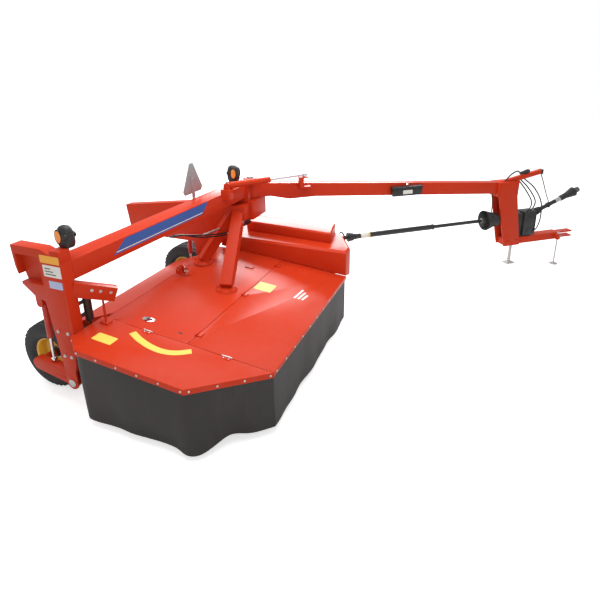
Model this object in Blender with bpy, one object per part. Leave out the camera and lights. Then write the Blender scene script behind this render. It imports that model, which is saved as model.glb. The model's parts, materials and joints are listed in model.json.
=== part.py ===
"""Side-pull disc mower conditioner.

Metres, +X forward, +Y left, +Z up, floor at Z = 0, axle line at X = 0.
"""
import math

import bpy
from mathutils import Matrix, Vector

SEAT = 0.0003                  # gap between two pieces that touch
RUN = 0.006                    # running clearance between moving pieces
PIN_RUN = 0.001                # clearance round a pin, a shaft or a rod

# header
HEADER_WIDTH = 3.60            # over the end cap and the drive hood
END_RIGHT_Y = -1.55
END_LEFT_Y = END_RIGHT_Y + HEADER_WIDTH
CAP_WIDTH = 0.58
CAP_SEAM_Y = END_RIGHT_Y + CAP_WIDTH        # seam between the panels and the right end cap
HOOD_WIDTH = 0.72
HOOD_RIGHT_Y = END_LEFT_Y - HOOD_WIDTH      # right wall of the drive hood
DECK_REAR_X = 0.65
CUT_FRONT_X = 2.67             # front edge of the deck
SEAM_X = CUT_FRONT_X - 0.96    # hinge seam between the rear and the front panel
DECK_FRONT_Z = 0.717
DECK_RISE = 0.096              # rise of the deck toward the rear, metres a metre
SHEET = 0.012                  # panel thickness, folded edges included
FLANGE = 0.055                 # depth of the cap's folded edge
SEAM = 0.004                   # open seam between two panels
CAP_REAR_CUT = 0.15
CAP_FRONT_CUT = 0.60
CURTAIN = 0.012
CURTAIN_BOTTOM_Z = 0.09
HOOD_TOP_Z = DECK_FRONT_Z + 0.353
COVER_HEIGHT = 0.15
SIDE_PLATE = 0.025             # thickness of the header's end plates
PLATE_RIGHT_Y = END_RIGHT_Y + 0.13          # outer face of the right end plate
PLATE_LEFT_Y = END_LEFT_Y - 0.25            # inner face of the left end plate

# cutterbar
DISC_COUNT = 8
DISC_X = CUT_FRONT_X - 0.60
DISC_PITCH = (PLATE_LEFT_Y - PLATE_RIGHT_Y) / (DISC_COUNT + 0.364)
FIRST_DISC_Y = PLATE_RIGHT_Y + 0.714 * DISC_PITCH
DISC_LONG = 0.175              # half length of an oval disc
DISC_SHORT = 0.115             # half width of an oval disc
KNIFE_REACH = 0.62 * DISC_PITCH             # knife tip from the disc's centre
BAR_Z = 0.075
BAR_HEIGHT = 0.07

# conditioner
ROLL_RADIUS = 0.105
ROLL_X = DISC_X - 0.65
LOWER_ROLL_Z = 0.33
ROLL_GAP = 0.03

# rear hood
SHIELD_X = 0.48                # upright hinge of the windrow shields

# wheels
WHEEL_RADIUS = 0.3935
WHEEL_WIDTH = 0.34
RIM_RADIUS = 0.20
LEG_WIDTH = 0.13
LEG_RIGHT_Y = END_RIGHT_Y + 0.255           # centre of the right leg
CARRIER_Y = END_LEFT_Y - 0.82               # centre of the left wheel carrier
WHEEL_OFFSET_Y = (LEG_WIDTH + WHEEL_WIDTH) / 2 + 0.02   # leg centre to wheel centre
ARM_PIVOT_X = 0.50
ARM_PIVOT_Z = 0.29
LEG_TOP_Z = 1.79
LIFT_TOP = Vector((0.235, 0, 1.17))
LIFT_FOOT = Vector((0.215, 0, WHEEL_RADIUS + 0.0915))

# pivot head and tongue
PIVOT = Vector((1.21, END_LEFT_Y - 0.65, 0))
HEAD_BACK = 0.21               # pivot pin to the head's rear face
HEAD_SIDE = 0.2365             # pivot pin to the head's right face
BEAM_ENDS = (LEG_RIGHT_Y + LEG_WIDTH / 2 + SEAT, PIVOT.y - HEAD_SIDE - SEAT)
BEAM_WIDTH = 0.24
SWING = 38.3                   # tongue heading in the field position, degrees left of forward
HEAD_LOW_Z = 1.685
HEAD_HIGH_Z = 1.915
HEAD_PLATE = 0.025             # thickness of the head's upper plate
TONGUE_WIDTH = 0.155
TONGUE_DEPTH = 0.20
TONGUE_DROP = 0.0747           # fall of the tongue toward the hitch, metres a metre
TONGUE_LENGTH = 4.10
DRAWBAR_Z = 0.52
HITCH_S = TONGUE_LENGTH + 1.68
JACK_S = TONGUE_LENGTH + 0.62
JACK_W = 0.155
STAND_S = TONGUE_LENGTH + 1.36
STAND_W = -0.135

SWING_BASE = Vector((PIVOT.x - 0.01, PIVOT.y - 0.60, 1.985))
SWING_EYE_S = 0.755
SWING_EYE_W = -0.15
# input shaft to the tractor, in the tongue's frame
SHAFT_START = Vector((TONGUE_LENGTH + 0.915, 0, 0.99))
SHAFT_ALONG = Vector((math.cos(math.radians(21.5)), 0, math.sin(math.radians(21.5))))
# half depth, half width and height of the warning lamp, from its foot up
LAMP_SECTIONS = ((0.075, 0.062, 0), (0.085, 0.07, 0.05), (0.085, 0.067, 0.16), (0.055, 0.045, 0.22))
SHAFT_REAR = Vector((CUT_FRONT_X - 0.25, END_LEFT_Y + 0.04, HOOD_TOP_Z - 0.085))
JOINT_BALL = 0.03              # radius of the universal joint's ball
SHAFT_FRONT_S = TONGUE_LENGTH + 0.07
SHAFT_FRONT_Z = 0.93
SHAFT_OPEN = 0.20              # gap left where the driveline's front joint is opened
BELL_RADIUS = 0.17

RED = (0.62, 0.030, 0.012)
DARK_RED = (0.42, 0.022, 0.010)
BLACK = (0.016, 0.016, 0.017)
RUBBER = (0.045, 0.040, 0.037)
STEEL = (0.42, 0.42, 0.41)
YELLOW = (0.85, 0.52, 0.03)
AMBER = (0.9, 0.30, 0.01)
CHROME = (0.8, 0.8, 0.8)


def clear_scene():
    for item in list(bpy.data.objects):
        bpy.data.objects.remove(item, do_unlink=True)


def paint(item, colour, roughness=0.45, metallic=0.0):
    """Gives a piece a Principled material of its own."""
    material = bpy.data.materials.new(item.name)
    material.use_nodes = True
    shader = material.node_tree.nodes["Principled BSDF"]
    shader.inputs["Base Color"].default_value = (*colour, 1)
    shader.inputs["Roughness"].default_value = roughness
    shader.inputs["Metallic"].default_value = metallic
    item.data.materials.clear()
    item.data.materials.append(material)
    return item


def solid(name, points, faces):
    mesh = bpy.data.meshes.new(name)
    mesh.from_pydata([tuple(point) for point in points], [], faces)
    mesh.validate()
    mesh.update()
    item = bpy.data.objects.new(name, mesh)
    bpy.context.collection.objects.link(item)
    return item


def loft(name, sections):
    """Closed solid through rings of the same number of points, given from the first ring to the last."""
    count = len(sections[0])
    points = [point for ring in sections for point in ring]
    faces = []
    for step in range(len(sections) - 1):
        low = step * count
        for index in range(count):
            after = (index + 1) % count
            faces.append((low + index, low + after, low + count + after, low + count + index))
    faces.append(tuple(reversed(range(count))))
    faces.append(tuple(range((len(sections) - 1) * count, len(sections) * count)))
    item = solid(name, points, faces)
    face_outward(item)
    return item


def face_outward(item):
    """Turns the faces of a closed mesh outward."""
    mesh = item.data
    volume = 0.0
    for polygon in mesh.polygons:
        corners = [mesh.vertices[index].co for index in polygon.vertices]
        for index in range(1, len(corners) - 1):
            volume += corners[0].dot(corners[index].cross(corners[index + 1]))
    if volume < 0:
        mesh.flip_normals()


def box(name, low, high):
    (x0, y0, z0), (x1, y1, z1) = low, high
    ring = [(x0, y0), (x1, y0), (x1, y1), (x0, y1)]
    return loft(name, [[(x, y, z0) for x, y in ring], [(x, y, z1) for x, y in ring]])


def plate(name, outline, axis, low, high):
    """Prism of a 2-D outline along one axis: XZ for Y, XY for Z, YZ for X."""
    place = {
        "X": lambda a, b, c: (c, a, b),
        "Y": lambda a, b, c: (a, c, b),
        "Z": lambda a, b, c: (a, b, c),
    }[axis]
    return loft(name, [[place(a, b, depth) for a, b in outline] for depth in (low, high)])


def circle(centre, radius, count, start=0.0, sweep=360.0):
    step = sweep / count if sweep == 360.0 else sweep / (count - 1)
    angles = [math.radians(start + step * index) for index in range(count)]
    return [(centre[0] + radius * math.cos(a), centre[1] + radius * math.sin(a)) for a in angles]


def rod(name, start, end, radius, sides=16, end_radius=None):
    """Round bar between two points."""
    start, end = Vector(start), Vector(end)
    turn = (end - start).to_track_quat("Z", "Y").to_matrix()
    rings = []
    for point, size in ((start, radius), (end, radius if end_radius is None else end_radius)):
        rings.append([point + turn @ Vector((x, y, 0)) for x, y in circle((0, 0), size, sides)])
    return loft(name, rings)


def bar(name, start, end, width, height):
    """Square-cut bar between two points, its height kept upright."""
    start, end = Vector(start), Vector(end)
    along = (end - start).normalized()
    side = along.cross(Vector((0, 0, 1))).normalized() * (width / 2)
    up = side.cross(along).normalized() * (height / 2)
    corners = (-side - up, side - up, side + up, -side + up)
    return loft(name, [[point + corner for corner in corners] for point in (start, end)])


def turned(name, profile, centre, sides=40):
    """Solid of revolution about the Y axis through a point; the profile is a closed loop of (radius, y)."""
    rings = []
    for index in range(sides):
        angle = 2 * math.pi * index / sides
        rings.append([
            (centre[0] + r * math.cos(angle), centre[1] + y, centre[2] + r * math.sin(angle))
            for r, y in profile
        ])
    count = len(profile)
    points = [point for ring in rings for point in ring]
    faces = []
    for step in range(sides):
        low, high = step * count, ((step + 1) % sides) * count
        for index in range(count):
            after = (index + 1) % count
            faces.append((low + index, low + after, high + after, high + index))
    item = solid(name, points, faces)
    face_outward(item)
    return item


def combine(base, others, operation):
    """Welds or cuts solids, and keeps the result as a plain mesh."""
    for other in others:
        change = base.modifiers.new(operation, "BOOLEAN")
        change.operation = operation
        change.object = other
        change.solver = "EXACT"
    view = bpy.context.evaluated_depsgraph_get()
    mesh = bpy.data.meshes.new_from_object(base.evaluated_get(view))
    old = base.data
    base.modifiers.clear()
    base.data = mesh
    bpy.data.meshes.remove(old)
    for other in others:
        bpy.data.objects.remove(other, do_unlink=True)
    return base


def weld(base, *others):
    return combine(base, others, "UNION")


def cut(base, *others):
    return combine(base, others, "DIFFERENCE")


def round_look(item, angle=35):
    item.data.shade_smooth()
    item.data.set_sharp_from_angle(angle=math.radians(angle))
    return item


def set_origin(item, point):
    """Moves a piece's origin to a point on its joint's axis without moving the piece."""
    point = Vector(point)
    item.data.transform(Matrix.Translation(-point))
    item.location = point
    return item


def deck_z(x):
    return DECK_FRONT_Z + DECK_RISE * (CUT_FRONT_X - x)


def slab(name, outline, thickness, lift=0.0):
    """Panel that follows the slope of the deck; the outline is in plan."""
    low = [(x, y, deck_z(x) + lift - thickness) for x, y in outline]
    high = [(x, y, deck_z(x) + lift) for x, y in outline]
    return loft(name, [low, high])


def header_frame():
    """End plates, rear tube and front beam that carry the panels, the cutterbar and the rolls."""
    def end_plate(label, y):
        outline = [
            (DISC_X - 0.10, BAR_Z + 0.09), (DISC_X + 0.06, BAR_Z + 0.09), (DISC_X + 0.06, 0.30),
            (DISC_X - 0.02, deck_z(DISC_X) - SHEET - SEAT),
            (DECK_REAR_X + 0.10, deck_z(DECK_REAR_X + 0.10) - SHEET - SEAT),
            (DECK_REAR_X + 0.10, 0.52), (ROLL_X - 0.22, 0.20), (ROLL_X + 0.13, 0.16),
        ]
        return plate(label, outline, "Y", y, y + SIDE_PLATE)
    right = end_plate("header_frame", PLATE_RIGHT_Y)
    left = end_plate("left_plate", PLATE_LEFT_Y)
    low_y, high_y = PLATE_RIGHT_Y + 0.01, PLATE_LEFT_Y + 0.01
    tube_x, mid_x = DECK_REAR_X + 0.09, SEAM_X - 0.05
    tube_z = deck_z(DECK_REAR_X) - 0.211
    rear = box("rear_tube", (tube_x, low_y, tube_z), (tube_x + 0.12, high_y, tube_z + 0.12))
    mid_top = deck_z(mid_x + 0.10) - SHEET
    middle = box("mid_tube", (mid_x, low_y, mid_top - 0.085), (mid_x + 0.10, high_y, mid_top - SEAT))
    floor_pan = box("floor_pan", (DISC_X - 0.27, low_y, BAR_Z + 0.135),
                    (DISC_X - 0.12, high_y, BAR_Z + 0.16))
    posts = [
        box("post", (x, y, z0), (x + 0.06, y + 0.06, deck_z(x + 0.06) - SHEET - SEAT))
        for x, z0 in ((tube_x + 0.03, tube_z + 0.06), (mid_x + 0.02, mid_top - 0.06))
        for y in (CAP_SEAM_Y + 0.03, 0.1, HOOD_RIGHT_Y - 0.1)
    ]
    return paint(weld(right, left, rear, middle, floor_pan, *posts), DARK_RED)


def disc_y(index):
    return FIRST_DISC_Y + DISC_PITCH * index


def cutterbar():
    """Flat gear case with a round station under each disc and a skid shoe under each station."""
    half = 0.09
    case = box("cutterbar", (DISC_X - 0.20, PLATE_RIGHT_Y, BAR_Z),
               (DISC_X + half, PLATE_LEFT_Y + SIDE_PLATE, BAR_Z + BAR_HEIGHT))
    parts = []
    top = BAR_Z + BAR_HEIGHT + 0.012
    for index in range(DISC_COUNT):
        y = disc_y(index)
        station = plate("station", circle((DISC_X, y), 0.13, 20), "Z", BAR_Z + 0.004, top)
        shoe = plate("shoe", [
            (DISC_X - 0.28, BAR_Z + 0.03), (DISC_X - 0.28, BAR_Z + 0.016), (DISC_X - 0.12, 0.030),
            (DISC_X + 0.06, 0.030), (DISC_X + 0.155, BAR_Z + 0.02), (DISC_X + 0.155, BAR_Z + 0.034),
            (DISC_X + 0.05, BAR_Z + 0.01), (DISC_X - 0.12, BAR_Z + 0.01),
        ], "Y", y - 0.085, y + 0.085)
        parts += [station, shoe]
    ends = [
        box("end_block", (DISC_X - 0.09, y, BAR_Z + 0.02),
            (DISC_X + 0.05, y + SIDE_PLATE, BAR_Z + 0.09 - SEAT))
        for y in (PLATE_RIGHT_Y, PLATE_LEFT_Y)
    ]
    return paint(weld(case, *parts, *ends), BLACK, 0.5, 0.3)


def disc(index):
    """Oval disc with two knives; each is timed a quarter turn from its neighbours."""
    top = BAR_Z + BAR_HEIGHT + 0.012
    turns = [math.radians(15 * k) for k in range(24)]
    outline = [(DISC_LONG * math.cos(a), DISC_SHORT * math.sin(a)) for a in turns]
    base = plate(f"cutting_disc_{index + 1}", outline, "Z", top + RUN, top + RUN + 0.014)
    crown = loft("crown", [
        [(x, y, top + RUN + 0.010) for x, y in circle((0, 0), 0.105, 20)],
        [(x, y, top + RUN + 0.045) for x, y in circle((0, 0), 0.06, 20)],
    ])
    shaft = plate("shaft", circle((0, 0), 0.03, 16), "Z", top + SEAT, top + RUN + 0.01)
    knives = []
    for side in (-1, 1):
        knife = box("knife", (min(side * 0.14, side * KNIFE_REACH), -0.022, top + RUN + 0.0015),
                    (max(side * 0.14, side * KNIFE_REACH), 0.022, top + RUN + 0.0065))
        knives.append(knife)
    item = weld(base, crown, shaft, *knives)
    item.location = (DISC_X, disc_y(index), 0)
    item.rotation_euler.z = math.radians(90 * (index % 2))
    return paint(item, STEEL, 0.4, 0.8)


def roll(name, z):
    """Conditioner roll with straight bars and a journal at each end."""
    low_y, high_y = PLATE_RIGHT_Y + SIDE_PLATE + 0.03, PLATE_LEFT_Y - 0.03
    bars = 8
    outline = []
    for index in range(bars):
        for offset, radius in ((-16, 0.9), (-9, 1.0), (9, 1.0), (16, 0.9)):
            angle = math.radians(360 / bars * index + offset)
            outline.append((ROLL_RADIUS * radius * math.cos(angle), ROLL_RADIUS * radius * math.sin(angle)))
    drum = plate(name, outline, "Y", low_y, high_y)
    journal = rod("journal", (0, PLATE_RIGHT_Y + SIDE_PLATE + SEAT, 0), (0, PLATE_LEFT_Y - SEAT, 0), 0.03)
    item = weld(drum, journal)
    item.location = (ROLL_X, 0, z)
    return paint(item, BLACK, 0.7)


def rear_panel():
    outline = [(DECK_REAR_X, CAP_SEAM_Y + 0.002), (SEAM_X - 0.002, CAP_SEAM_Y + 0.002),
               (SEAM_X - 0.002, HOOD_RIGHT_Y + 0.012), (DECK_REAR_X, HOOD_RIGHT_Y + 0.012)]
    return paint(slab("rear_deck_panel", outline, SHEET), RED)


def cap_edge(inset):
    """Outer edge of the right end cap in plan, from its rear end to the seam, moved inward by the inset."""
    corners = [Vector(point) for point in (
        (DECK_REAR_X, END_RIGHT_Y + CAP_REAR_CUT), (DECK_REAR_X + CAP_REAR_CUT * 1.3, END_RIGHT_Y),
        (CUT_FRONT_X - CAP_FRONT_CUT, END_RIGHT_Y), (CUT_FRONT_X, CAP_SEAM_Y - SEAM / 2),
    )]
    runs = []
    for start, end in zip(corners, corners[1:]):
        along = (end - start).normalized()
        runs.append((start + Vector((-along.y, along.x)) * inset, along))
    path = [runs[0][0] + runs[0][1] * inset]
    for (start, along), (after, heading) in zip(runs, runs[1:]):
        reach = (after - start).cross(heading) / along.cross(heading)
        path.append(start + along * reach)
    start, along = runs[-1]
    path.append(start + along * ((CAP_SEAM_Y - SEAM / 2 - start.y) / along.y))
    return [(point.x, point.y) for point in path]


def end_cap():
    """Right end cap with its chamfered corners and a downturned flange along the outside."""
    edge = cap_edge(0)
    top = slab("end_cap_right", [(DECK_REAR_X, CAP_SEAM_Y - SEAM / 2)] + edge, SHEET)
    flange = slab("flange", edge + cap_edge(SHEET)[::-1], FLANGE, -0.004)
    return paint(weld(top, flange), RED)


def drive_hood():
    """Raised box over the left end drive, open below, with its front left corner cut off."""
    front_x, rear_x = CUT_FRONT_X - 0.01, DECK_REAR_X + 0.07

    def plan(inset):
        return [
            (rear_x + inset, HOOD_RIGHT_Y + inset), (front_x - inset, HOOD_RIGHT_Y + inset),
            (front_x - inset, END_LEFT_Y - 0.53 - inset * 0.5),
            (CUT_FRONT_X - 0.30 - inset * 0.8, END_LEFT_Y - inset),
            (rear_x + inset, END_LEFT_Y - inset),
        ]
    shell = loft("drive_hood_left", [
        [(x, y, deck_z(x) + (4 * SEAT if y == HOOD_RIGHT_Y else -0.05)) for x, y in plan(0)],
        [(x, y, HOOD_TOP_Z - 0.03) for x, y in plan(0)],
        [(x, y, HOOD_TOP_Z) for x, y in plan(0.03)],
    ])
    inside = loft("inside", [
        [(x, y, 0.5) for x, y in plan(SHEET)],
        [(x, y, HOOD_TOP_Z - 0.03) for x, y in plan(SHEET)],
        [(x, y, HOOD_TOP_Z - SHEET) for x, y in plan(0.03)],
    ])
    outside = SHAFT_REAR + Vector((0.12, 0.12, 0))
    mouth = rod("mouth", outside, SHAFT_REAR - Vector((0.14, 0.14, 0)), 0.085, 20)
    return paint(cut(shell, inside, mouth), RED)


def shaft_cover():
    """Low lid on top of the drive hood."""
    base = HOOD_TOP_Z + SEAT
    rear_x, front_x = DECK_REAR_X + 0.33, CUT_FRONT_X - 0.31
    right_y, left_y = END_LEFT_Y - 0.39, END_LEFT_Y - 0.03
    corner = [(rear_x, right_y), (front_x, right_y - 0.10), (front_x - 0.08, left_y), (rear_x, left_y)]
    inner = [(rear_x + 0.02, right_y + 0.02), (front_x - 0.02, right_y - 0.08),
             (front_x - 0.10, left_y - 0.02), (rear_x + 0.02, left_y - 0.02)]
    return paint(loft("drive_cover_left", [
        [(x, y, base) for x, y in corner],
        [(x, y, base + COVER_HEIGHT - 0.02) for x, y in corner],
        [(x, y, base + COVER_HEIGHT) for x, y in inner],
    ]), RED)


def drive_case():
    """Left gear case inside the hood, seated on the header's end plate, with its input yoke."""
    x, y, z = SHAFT_REAR
    case = box("left_gear_case", (x - 0.82, PLATE_LEFT_Y + SIDE_PLATE + SEAT, 0.30),
               (x - 0.24, END_LEFT_Y - 0.03, z - 0.085))
    neck = rod("neck", (x - 0.32, y - 0.21, z - 0.14), (x - 0.16, y - 0.14, z), 0.05)
    stub = rod("stub", (x - 0.18, y - 0.15, z), SHAFT_REAR, 0.02)
    ball = turned("ball", [(JOINT_BALL * math.sin(a), -JOINT_BALL * math.cos(a)) for a in
                           (math.radians(8 + 164 / 8 * k) for k in range(9))], SHAFT_REAR, 16)
    return paint(weld(case, neck, stub, ball), BLACK, 0.4)


def tower():
    """Two sloping struts from the deck to the pivot head: they hang the header on the frame."""
    top_y = PIVOT.y - HEAD_SIDE - SEAT
    low_z = HEAD_LOW_Z - 0.225
    block = box("header_tower", (PIVOT.x - 0.19, top_y - 0.17, low_z), (PIVOT.x + 0.11, top_y, low_z + 0.20))
    front_foot = Vector((PIVOT.x + 0.26, PIVOT.y - 1.20, 0))
    rear_foot = Vector((PIVOT.x - 0.41, PIVOT.y - 0.68, 0))
    for point in (front_foot, rear_foot):
        point.z = deck_z(point.x) + 0.03
    front = bar("front_strut", front_foot, (PIVOT.x - 0.01, top_y - 0.09, low_z + 0.10), 0.15, 0.15)
    rear = bar("rear_strut", rear_foot, (PIVOT.x - 0.09, top_y - 0.10, low_z + 0.09), 0.13, 0.13)
    feet = [
        loft("foot", [
            [(x, y, deck_z(x) + SEAT) for x, y in circle((point.x, point.y), 0.14, 12)],
            [(x, y, deck_z(x) + 0.03) for x, y in circle((point.x, point.y), 0.12, 12)],
        ]) for point in (front_foot, rear_foot)
    ]
    low, high = front_foot.y - 0.4, rear_foot.y + 0.5
    shave = slab("shave", [(0.5, low), (1.7, low), (1.7, high), (0.5, high)], 0.4, SEAT)
    return paint(cut(weld(block, front, rear, *feet), shave), RED)


def beam_rear_x(y):
    """Rear face of the cross beam, which runs forward toward the pivot head."""
    near, far = BEAM_ENDS
    return 0.40 + 0.63 * (y - near) / (far - near)


def cross_beam():
    """Tapered box from the right leg, rising forward to the pivot head."""
    sections = []
    heights = ((1.455, 1.66), (HEAD_LOW_Z + 0.05, HEAD_HIGH_Z + 0.01))
    for y, (low_z, high_z) in zip(BEAM_ENDS, heights):
        x0 = beam_rear_x(y)
        x1 = x0 + BEAM_WIDTH
        sections.append([(x0, y, low_z), (x1, y, low_z), (x1, y, high_z), (x0, y, high_z)])
    return paint(loft("cross_beam", sections), RED)


def fork(label, x, z, y, width, top):
    """Pair of cheek plates that hold a wheel arm at its pivot."""
    cheeks = []
    arc = circle((x, z), 0.075, 9, 180, 180)[1:-1]
    outline = [(x - 0.075, top), (x - 0.075, z)] + arc + [(x + 0.075, z), (x + 0.075, top)]
    for side in (-1, 1):
        inner = y + side * (width / 2 - 0.018)
        outer = y + side * (width / 2 - 0.001)
        cheeks.append(plate(label, outline, "Y", min(inner, outer), max(inner, outer)))
    return cheeks


def right_leg():
    """Right leg with its gooseneck behind and the float arm in front."""
    low_y, high_y = LEG_RIGHT_Y - LEG_WIDTH / 2, LEG_RIGHT_Y + LEG_WIDTH / 2
    outline = [
        (0.64, 1.70), (0.645, 0.86), (0.60, 0.52), (ARM_PIVOT_X + 0.075, 0.44), (ARM_PIVOT_X - 0.075, 0.44),
        (0.41, 0.64), (0.345, 1.22), (0.20, 1.27), (0.07, 1.37), (0.015, 1.56),
        (0.0, LEG_TOP_Z), (0.40, LEG_TOP_Z),
    ]
    leg = plate("right_leg", outline, "Y", low_y, high_y)
    seat = box("seat", (0.52, low_y, 1.67), (0.642, high_y, LEG_TOP_Z))
    cheeks = fork("cheek", ARM_PIVOT_X, ARM_PIVOT_Z, LEG_RIGHT_Y, LEG_WIDTH, 0.46)
    pin = rod("pin", (ARM_PIVOT_X, low_y, ARM_PIVOT_Z), (ARM_PIVOT_X, high_y, ARM_PIVOT_Z), 0.03)
    arm = bar("arm", (0.60, high_y - 0.02, 1.36), (0.83, high_y + 0.30, 1.20), 0.10, 0.15)
    pocket = box("pocket", (0.04, low_y - 0.01, 1.40), (0.36, low_y + 0.075, 1.70))
    x, z = LIFT_TOP.x, LIFT_TOP.z
    near_y, far_y = LEG_RIGHT_Y - 0.055, LEG_RIGHT_Y - 0.041
    lug = plate("lug", circle((x, z), 0.04, 14), "Y", near_y, far_y)
    web = box("web", (x - 0.04, near_y, z), (x + 0.04, far_y, 1.30))
    stub = rod("stub", (x, LEG_RIGHT_Y - 0.05, z), (x, LEG_RIGHT_Y + 0.045, z), 0.014)
    return paint(cut(weld(leg, seat, *cheeks, pin, arm, lug, web, stub), pocket), RED)


def left_carrier():
    """Deep box back from the pivot head, with the left leg under it."""
    low_y, high_y = CARRIER_Y - LEG_WIDTH / 2, CARRIER_Y + LEG_WIDTH / 2
    end_x = PIVOT.x - HEAD_BACK - SEAT
    under = deck_z(0.645) + 0.109
    outline = [
        (end_x, 1.68), (end_x, under + 0.34), (0.645, under), (0.60, 0.52), (ARM_PIVOT_X + 0.075, 0.44),
        (ARM_PIVOT_X - 0.075, 0.44), (0.41, 0.64), (0.345, 0.98), (-0.66, 0.98),
        (-0.80, 1.06), (-0.85, 1.43),
    ]
    body = plate("left_wheel_carrier", outline, "Y", low_y, high_y)
    cheeks = fork("cheek", ARM_PIVOT_X, ARM_PIVOT_Z, CARRIER_Y, LEG_WIDTH, 0.46)
    pin = rod("pin", (ARM_PIVOT_X, low_y, ARM_PIVOT_Z), (ARM_PIVOT_X, high_y, ARM_PIVOT_Z), 0.03)
    x, z = LIFT_TOP.x, LIFT_TOP.z
    slot = box("slot", (x - 0.05, low_y + 0.014, 0.9), (x + 0.05, high_y + 0.01, z + 0.06))
    stub = rod("stub", (x, low_y + 0.01, z), (x, CARRIER_Y + 0.045, z), 0.014)
    return paint(weld(cut(weld(body, *cheeks, pin), slot), stub), RED)


def pivot_head():
    """Clevis that holds the tongue: lower block, web, upper plate and pin."""
    x0, x1 = PIVOT.x - HEAD_BACK, PIVOT.x + 0.15
    y0, y1 = PIVOT.y - HEAD_SIDE, PIVOT.y + 0.17
    lower = box("pivot_head", (x0, y0, 1.43), (x1, y1, HEAD_LOW_Z))
    web = box("web", (x0, y0, HEAD_LOW_Z - 0.02), (x1 - 0.06, y0 + 0.075, HEAD_HIGH_Z + 0.02))
    upper = box("upper", (x0, y0, HEAD_HIGH_Z), (x1, y1, HEAD_HIGH_Z + HEAD_PLATE))
    pin_top = PIVOT + Vector((0, 0, HEAD_HIGH_Z + 0.01))
    pin = rod("pin", PIVOT + Vector((0, 0, HEAD_LOW_Z - 0.02)), pin_top, 0.045, 20)
    boss = rod("boss", pin_top, pin_top + Vector((0, 0, 0.04)), 0.09, 20)
    return paint(weld(lower, web, upper, pin, boss), RED)


def marker():
    """Slow-vehicle triangle facing rearward on a bracket behind the beam."""
    y, z = PIVOT.y - 0.85, 1.80
    x = beam_rear_x(y - 0.03) - SEAT - 0.0095
    triangle = [(y - 0.18, z + 0.12), (y + 0.18, z + 0.12), (y + 0.21, z + 0.17), (y + 0.035, z + 0.50),
                (y - 0.035, z + 0.50), (y - 0.21, z + 0.17)]
    sign = plate("marker_plate", triangle, "X", x, x + 0.004)
    stalk = box("stalk", (x + 0.002, y - 0.03, z - 0.10), (x + 0.0095, y + 0.03, z + 0.35))
    return paint(weld(sign, stalk), (0.45, 0.45, 0.45), 0.5)


def lamp(name, x, y, z):
    """Twin-faced warning lamp, long across the machine."""
    sections = [
        [(x + along * depth, y + across * width, z + height)
         for along, across in ((-1, -1), (1, -1), (1, 1), (-1, 1))]
        for depth, width, height in LAMP_SECTIONS
    ]
    return paint(loft(name, sections), BLACK, 0.5)


def float_link():
    """Hanger rod between the float arm and the end cap."""
    x, y = DECK_REAR_X + 0.11, LEG_RIGHT_Y + 0.255
    item = rod("float_link_right", (x, y, deck_z(x) + 0.008), (x, y, 1.165), 0.012, 12)
    corners = [(x - 0.05, y - 0.04), (x + 0.05, y - 0.04), (x + 0.05, y + 0.04), (x - 0.05, y + 0.04)]
    foot = slab("foot", corners, 0.012, 0.012 + SEAT)
    return paint(weld(item, foot), RED)


def hood_sides(inset=0.0):
    """Sides of the rear hood, between the right tyre and the left leg."""
    right = LEG_RIGHT_Y + WHEEL_OFFSET_Y + WHEEL_WIDTH / 2 + 0.05
    return right + inset, CARRIER_Y - LEG_WIDTH / 2 - 0.05 - inset


def hood_z():
    """Height at which the rear hood meets the deck."""
    return deck_z(DECK_REAR_X) - 0.036


def rear_hood():
    """Sloping hood behind the rolls, between the wheels."""
    y0, y1 = hood_sides()
    edge, top = DECK_REAR_X, hood_z()
    outline = [(edge, top), (edge, top - 0.015), (0.02, top - 0.275), (0.0, top - 0.265),
               (0.0, top - 0.255), (0.02, top - 0.25)]
    cheek = [(edge + 0.03, top - 0.175), (edge + 0.03, top), (edge - 0.01, top - 0.007), (0.10, top - 0.23),
             (0.10, top - 0.315)]
    skin = plate("rear_hood", outline, "Y", y0, y1)
    sides = [plate("side", cheek, "Y", y, y + 0.01) for y in (y0, y1 - 0.01)]
    lip = box("lip", (edge - 0.005, y0, top - 0.175), (edge + 0.09 - SEAT, y1, top - 0.165))
    lug_z = top - 0.175 + SEAT
    lugs = [
        box("lug", (SHIELD_X - 0.02, low, lug_z), (SHIELD_X + 0.02, low + 0.05, lug_z + 0.012))
        for low in (y0 - 0.045, y1 - 0.005)
    ]
    return paint(weld(skin, *sides, lip, *lugs), RED)


def swath_gate():
    """Plate under the rear hood that turns the crop down."""
    y0, y1 = hood_sides(0.016)
    x, z = DECK_REAR_X - 0.09, hood_z() - 0.085
    outline = [(x - 0.005, z - 0.005), (x + 0.005, z + 0.005), (0.16, z - 0.23), (0.15, z - 0.24)]
    item = plate("swath_gate", outline, "Y", y0, y1)
    shaft = rod("shaft", (x, y0 - 0.0057, z), (x, y1 + 0.0057, z), 0.012, 12)
    return set_origin(paint(weld(item, shaft), DARK_RED), (x, (y0 + y1) / 2, z))


def windrow_shield(name, y, side):
    """Side deflector hung from the rear hood on an upright hinge."""
    x, top = SHIELD_X, hood_z() - 0.175
    low = min(y, y + side * 0.008)
    outline = [(x, top - 0.35), (x, top - 0.14), (-0.10, top - 0.18), (-0.14, top - 0.37)]
    panel = plate(name, outline, "Y", low, low + 0.008)
    post = rod("post", (x, y + side * 0.004, top - 0.35), (x, y + side * 0.004, top), 0.012, 12)
    return set_origin(paint(weld(panel, post), RED), (x, y + side * 0.004, top - 0.2))


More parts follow.
